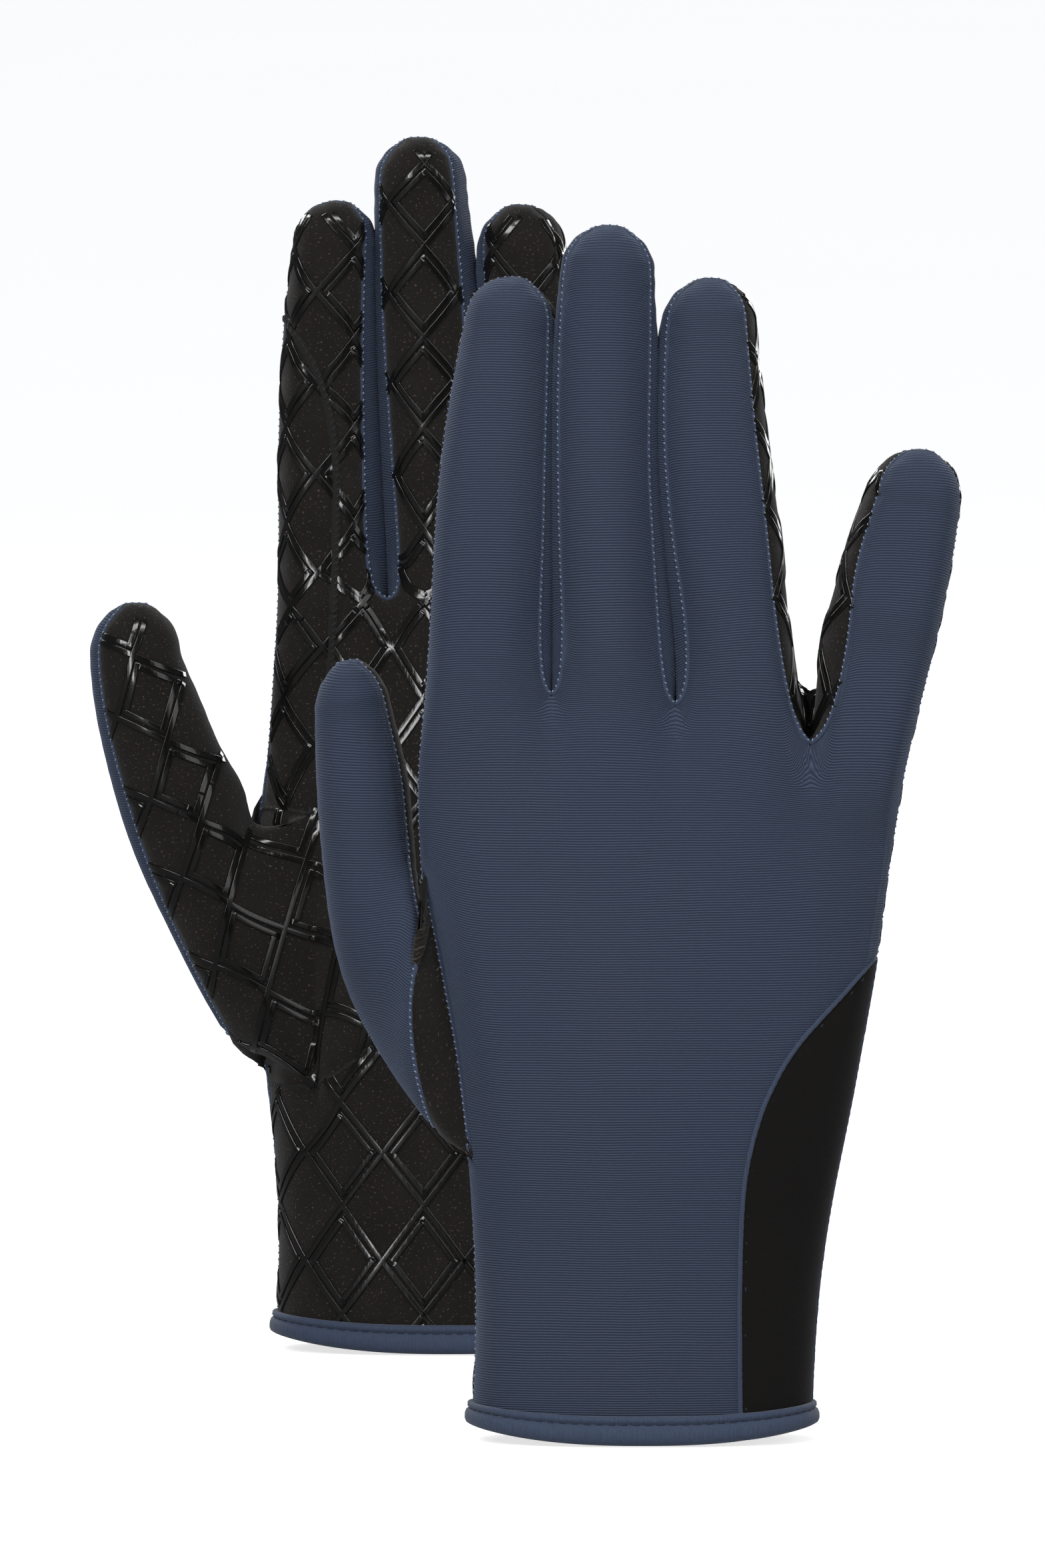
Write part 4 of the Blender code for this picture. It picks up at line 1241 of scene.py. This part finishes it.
def nap():  # the short nap of suede: soft grain, brushed patches and a few light fibres
    number = "NodeSocketFloat"
    tree, given, out = newGroup(
        "nap",
        [("NodeSocketVector", "Cloth", None), (number, "Grain", 3.2), (number, "Fibres", 0.70)],
        [(number, "Height"), (number, "Fibre"), (number, "Brushed")])
    cloth = given.outputs["Cloth"]
    grain = cloud(tree, cloth, (-500, 200), given.outputs["Grain"], 4.0)
    speck = cloud(tree, cloth, (-500, -100), 2.1, 1.0)
    over = maths(tree, "SUBTRACT", speck, given.outputs["Fibres"])
    fibre = maths(tree, "MULTIPLY", over, 14.0, clamp=True)
    brushed = cloud(tree, cloth, (-500, -400), 0.11, 3.0)
    for source, label in ((grain, "Height"), (fibre, "Fibre"), (brushed, "Brushed")):
        tree.links.new(source, out.inputs[label])
    return tree


def newFinish(name, place="cloth"):
    material = bpy.data.materials.new(name)
    material.use_nodes = True
    tree = material.node_tree
    shader = tree.nodes["Principled BSDF"]
    if place == "cloth":
        return material, tree, shader, addNode(tree, "ShaderNodeUVMap", (-1200, 0), uv_map="cloth").outputs[0]
    scale = addNode(tree, "ShaderNodeVectorMath", (-1000, 0), operation="SCALE")
    scale.inputs["Scale"].default_value = 1 / mm
    where = addNode(tree, "ShaderNodeNewGeometry", (-1200, 0)).outputs["Position"]
    tree.links.new(where, scale.inputs[0])
    return material, tree, shader, scale.outputs[0]


def placeGroup(tree, group, source, place=(-800, 0), **values):
    node = addNode(tree, "ShaderNodeGroup", place, node_tree=group)
    tree.links.new(source, node.inputs["Cloth"])
    for key, value in values.items():
        node.inputs[key.replace("_", " ")].default_value = value
    return node


def blendColours(tree, share, low, high, place=(-400, 200)):
    ramp = addNode(tree, "ShaderNodeMix", place, data_type="RGBA")
    for socket, value in ((ramp.inputs[6], low), (ramp.inputs[7], high)):
        if isinstance(value, tuple):
            socket.default_value = (*value, 1.0)
        else:
            tree.links.new(value, socket)
    tree.links.new(share, ramp.inputs[0])
    return ramp.outputs[2]


def dress(tree, shader, colour, roughShare, roughSpread, rough, height, strength, relief, **values):
    tree.links.new(colour, shader.inputs["Base Color"])
    fine = maths(tree, "MULTIPLY_ADD", roughShare, roughSpread, rough, (-300, 0))
    tree.links.new(fine, shader.inputs["Roughness"])
    bump = addNode(tree, "ShaderNodeBump", (-300, -300))
    bump.inputs["Strength"].default_value = strength
    bump.inputs["Distance"].default_value = relief
    tree.links.new(height, bump.inputs["Height"])
    tree.links.new(bump.outputs[0], shader.inputs["Normal"])
    for key, value in values.items():
        shader.inputs[key.replace("_", " ")].default_value = value


# the groove colour is painted shade: the grooves between the ribs are coloured darker than the rib tops
navyLook = {"rib": (0.043, 0.061, 0.104), "groove": (0.015, 0.022, 0.042), "faded": (0.056, 0.071, 0.108),
            "ribEvery": 0.47, "loopEvery": 0.46, "rough": 0.72, "sheen": 0.20, "relief": 0.00022}


def navyStretch(ribs):
    look = navyLook
    material, tree, shader, cloth = newFinish("navyStretch")
    knit = placeGroup(tree, ribs, cloth, Rib_Every=look["ribEvery"], Loop_Every=look["loopEvery"])
    worn = blendColours(tree, knit.outputs["Tone"], look["rib"], look["faded"], (-500, 400))
    # darkens the colour towards the groove colour where the ribs dip: painted shade in the grooves
    colour = blendColours(tree, knit.outputs["Groove"], worn, look["groove"])
    dress(tree, shader, colour, knit.outputs["Groove"], 0.12, look["rough"],
          knit.outputs["Height"], 0.9, look["relief"], Sheen_Weight=look["sheen"], Sheen_Roughness=0.35,
          Sheen_Tint=(0.55, 0.68, 1.0, 1.0), Specular_IOR_Level=0.25)
    return material


suedeLook = {"deep": (0.0052, 0.0042, 0.0036), "brushed": (0.0120, 0.0098, 0.0082),
             "fibre": (0.060, 0.050, 0.040), "rough": 0.90, "sheen": 0.10, "relief": 0.00016}


def blackSuede(suedeNap):
    look = suedeLook
    material, tree, shader, cloth = newFinish("blackSuede")
    fuzz = placeGroup(tree, suedeNap, cloth)
    base = blendColours(tree, fuzz.outputs["Brushed"], look["deep"], look["brushed"], (-500, 400))
    colour = blendColours(tree, fuzz.outputs["Fibre"], base, look["fibre"])
    dress(tree, shader, colour, fuzz.outputs["Height"], 0.1, look["rough"] - 0.06,
          fuzz.outputs["Height"], 0.8, look["relief"], Sheen_Weight=look["sheen"], Sheen_Roughness=0.5,
          Specular_IOR_Level=0.18)
    return material


smoothLook = {"cloth": (0.0030, 0.0025, 0.0022), "worn": (0.0056, 0.0046, 0.0040), "rough": 0.78,
              "relief": 0.00008}


def blackSmooth(ribs):
    look = smoothLook
    material, tree, shader, cloth = newFinish("blackSmooth")
    knit = placeGroup(tree, ribs, cloth, Rib_Every=0.34, Loop_Every=0.34, Drift=1.2)
    colour = blendColours(tree, knit.outputs["Tone"], look["cloth"], look["worn"])
    dress(tree, shader, colour, knit.outputs["Groove"], 0.1, look["rough"],
          knit.outputs["Height"], 0.5, look["relief"], Sheen_Weight=0.05, Specular_IOR_Level=0.15)
    return material


solidLooks = {  # finish: name, light, dark, rough, sheen, grain, relief
    "navy_binding": ("navyBinding", (0.043, 0.063, 0.112), (0.018, 0.028, 0.054), 0.76, 0.15, 3.5, 0.0001),
    "elastic": ("elasticTape", (0.032, 0.032, 0.034), (0.014, 0.014, 0.016), 0.8, 0.1, 3.0, 0.0001),
    "seamNavy": ("seamNavy", (0.040, 0.060, 0.108), (0.014, 0.022, 0.044), 0.76, 0.15, 4.0, 0.0001),
    "seamBlack": ("seamBlack", (0.012, 0.011, 0.010), (0.005, 0.0045, 0.004), 0.86, 0.08, 3.0, 0.0001),
    "threadPale": ("threadPale", (0.30, 0.37, 0.50), (0.09, 0.13, 0.21), 0.6, 0.1, 6.0, 0.00005),
    "threadDark": ("threadDark", (0.020, 0.030, 0.060), (0.008, 0.012, 0.028), 0.6, 0.1, 6.0, 0.00005),
    "threadBlack": ("threadBlack", (0.012, 0.011, 0.011), (0.005, 0.005, 0.005), 0.55, 0.1, 6.0, 0.00005),
}


def solidCloth(suedeNap, name, light, dark, rough, sheen, grain, relief):  # welts, tapes and threads
    material, tree, shader, place = newFinish(name, "object")
    fuzz = placeGroup(tree, suedeNap, place, Grain=grain)
    colour = blendColours(tree, fuzz.outputs["Height"], dark, light)
    dress(tree, shader, colour, fuzz.outputs["Brushed"], 0.12, rough - 0.06,
          fuzz.outputs["Height"], 0.7, relief, Sheen_Weight=sheen, Specular_IOR_Level=0.3)
    return material


printLook = {"deep": (0.0030, 0.0028, 0.0026), "dusty": (0.0060, 0.0055, 0.0050), "rough": 0.11,
             "dustyRough": 0.20, "coat": 0.6, "coatRough": 0.08, "relief": 0.00012}


def gripPrint(suedeNap):
    look = printLook
    material, tree, shader, place = newFinish("gripPrint", "object")
    film = placeGroup(tree, suedeNap, place, Grain=1.6)
    colour = blendColours(tree, film.outputs["Brushed"], look["deep"], look["dusty"])
    dress(tree, shader, colour, film.outputs["Brushed"], look["dustyRough"] - look["rough"], look["rough"],
          film.outputs["Height"], 0.35, look["relief"], Coat_Weight=look["coat"],
          Coat_Roughness=look["coatRough"], IOR=1.45)
    return material


def makeFinishes():
    ribs, suedeNap = crossRibs(), nap()
    made = {"navy_stretch": navyStretch(ribs), "black_suede": blackSuede(suedeNap),
            "black_smooth": blackSmooth(ribs)}
    for finish, look in solidLooks.items():
        made[finish] = solidCloth(suedeNap, *look)
    made["gripPrint"] = gripPrint(suedeNap)
    return made


# floor, light and camera
stageStyle = {"floorHalf": 60.0, "cameraAway": 9.17, "cameraRise": 4.3, "lens": 1100.0,
              "aim": (0.0004, 0.0, 0.1168), "glow": (0.72, 0.72, 0.72), "gap": 0.0002,
              "world": (0.36, 0.37, 0.39), "worldMirrored": (0.07, 0.07, 0.07)}


def floorFinish():
    material, tree, shader, place = newFinish("paleFloor", "object")
    grain = addNode(tree, "ShaderNodeTexNoise", (-600, 0))
    grain.inputs["Scale"].default_value = 0.004
    tree.links.new(place, grain.inputs["Vector"])
    tone = blendColours(tree, grain.outputs["Fac"], (0.66, 0.66, 0.66), (0.70, 0.70, 0.70))
    seen = addNode(tree, "ShaderNodeLightPath", (-600, -400))
    mirrored = blendColours(tree, seen.outputs["Is Glossy Ray"], tone, (0.10, 0.10, 0.10), (-200, 200))
    tree.links.new(mirrored, shader.inputs["Base Color"])
    shader.inputs["Roughness"].default_value = 0.9
    dark, glow = (0.0, 0.0, 0.0), stageStyle["glow"]
    glow = blendColours(tree, seen.outputs["Is Camera Ray"], dark, glow, (-400, -300))
    tree.links.new(glow, shader.inputs["Emission Color"])
    shader.inputs["Emission Strength"].default_value = 1.0
    return material


def makeStage():
    half = stageStyle["floorHalf"]
    data = bpy.data.meshes.new("floor")
    mesh = bmesh.new()
    bmesh.ops.create_grid(mesh, x_segments=24, y_segments=24, size=half)
    mesh.to_mesh(data)
    mesh.free()
    floor = bpy.data.objects.new("floor", data)
    floor.location.z = -stageStyle["gap"]
    data.materials.append(floorFinish())
    bpy.context.scene.collection.objects.link(floor)
    world = bpy.data.worlds.new("studio")
    world.use_nodes = True
    tree = world.node_tree
    seen = addNode(tree, "ShaderNodeLightPath", (-600, 0))
    low, high = stageStyle["world"], stageStyle["worldMirrored"]
    spread = blendColours(tree, seen.outputs["Is Glossy Ray"], low, high, (-450, 0))
    tone = blendColours(tree, seen.outputs["Is Camera Ray"], spread, (1.0, 1.0, 1.0), (-300, 0))
    tree.links.new(tone, tree.nodes["Background"].inputs["Color"])
    bpy.context.scene.world = world


lampAim = (0, 0, 0.12)
lamps = [  # name, place, width, height, watts
    ("keyLamp", (-0.85, -1.25, 1.25), 0.75, 0.75, 13.5),
    ("fillLamp", (1.3, -1.1, 0.55), 0.9, 1.1, 3.5),
    ("leftStrip", (-0.62, -2.0, 0.45), 0.22, 1.3, 10.0),
    ("rightStrip", (0.95, -1.8, 0.75), 0.20, 1.3, 7.5),
    ("stripLamp", (0.15, -0.9, 1.7), 1.2, 0.25, 7.0),
    ("rimLamp", (-0.7, 1.2, 0.9), 0.8, 0.8, 9.0),
    ("backLamp", (0.9, 1.6, 0.6), 0.9, 0.9, 10.0),
]


def makeLights():
    for name, place, width, height, watts in lamps:
        data = bpy.data.lights.new(name, "AREA")
        data.shape = "RECTANGLE"
        data.size, data.size_y = width, height
        data.energy = watts
        lamp = bpy.data.objects.new(name, data)
        lamp.location = place
        lamp.rotation_euler = (Vector(lampAim) - Vector(place)).to_track_quat("-Z", "Y").to_euler()
        lamp.visible_camera = False
        bpy.context.scene.collection.objects.link(lamp)


def makeCamera():
    style = stageStyle
    data = bpy.data.cameras.new("camera")
    data.lens = style["lens"]
    data.sensor_width = 36.0
    data.clip_start, data.clip_end = 0.5, 200.0
    camera = bpy.data.objects.new("camera", data)
    rise = math.radians(style["cameraRise"])
    aim = Vector(style["aim"])
    back = Vector((0, -math.cos(rise), math.sin(rise)))
    camera.location = aim + back * style["cameraAway"]
    camera.rotation_euler = (-back).to_track_quat("-Z", "Y").to_euler()
    bpy.context.scene.collection.objects.link(camera)
    bpy.context.scene.camera = camera
    bpy.context.scene.view_settings.view_transform = "Standard"


# the pair
def makeGlove(glove):
    print("sewing the", glove["side"], "glove")
    glove["origin"] = gloveOrigin(glove)
    mesh, layer, tags = smoothSkin(glove)
    cutPanels(mesh, layer, tags, glove)
    layer = mesh.faces.layers.int["panel"]
    uvLayer = mesh.loops.layers.uv["cloth"]
    mesh.normal_update()
    seams = seamEdges(mesh, layer, tags)
    roundCrotches(mesh, seams)
    sinkSeams(mesh, seams)
    bindCuff(glove, mesh)
    sewPanels(glove, mesh, layer, tags, uvLayer)
    sewSeams(glove, seams)
    print("printing the", glove["side"], "palm")
    printGrip(glove, mesh, layer, tags, uvLayer)
    sewElastic(glove, mesh, layer, tags, uvLayer)
    mesh.free()


finishes = makeFinishes()
makeCamera()
makeStage()
makeLights()
for glove in (leftGlove, rightGlove):
    makeGlove(glove)

print("done")
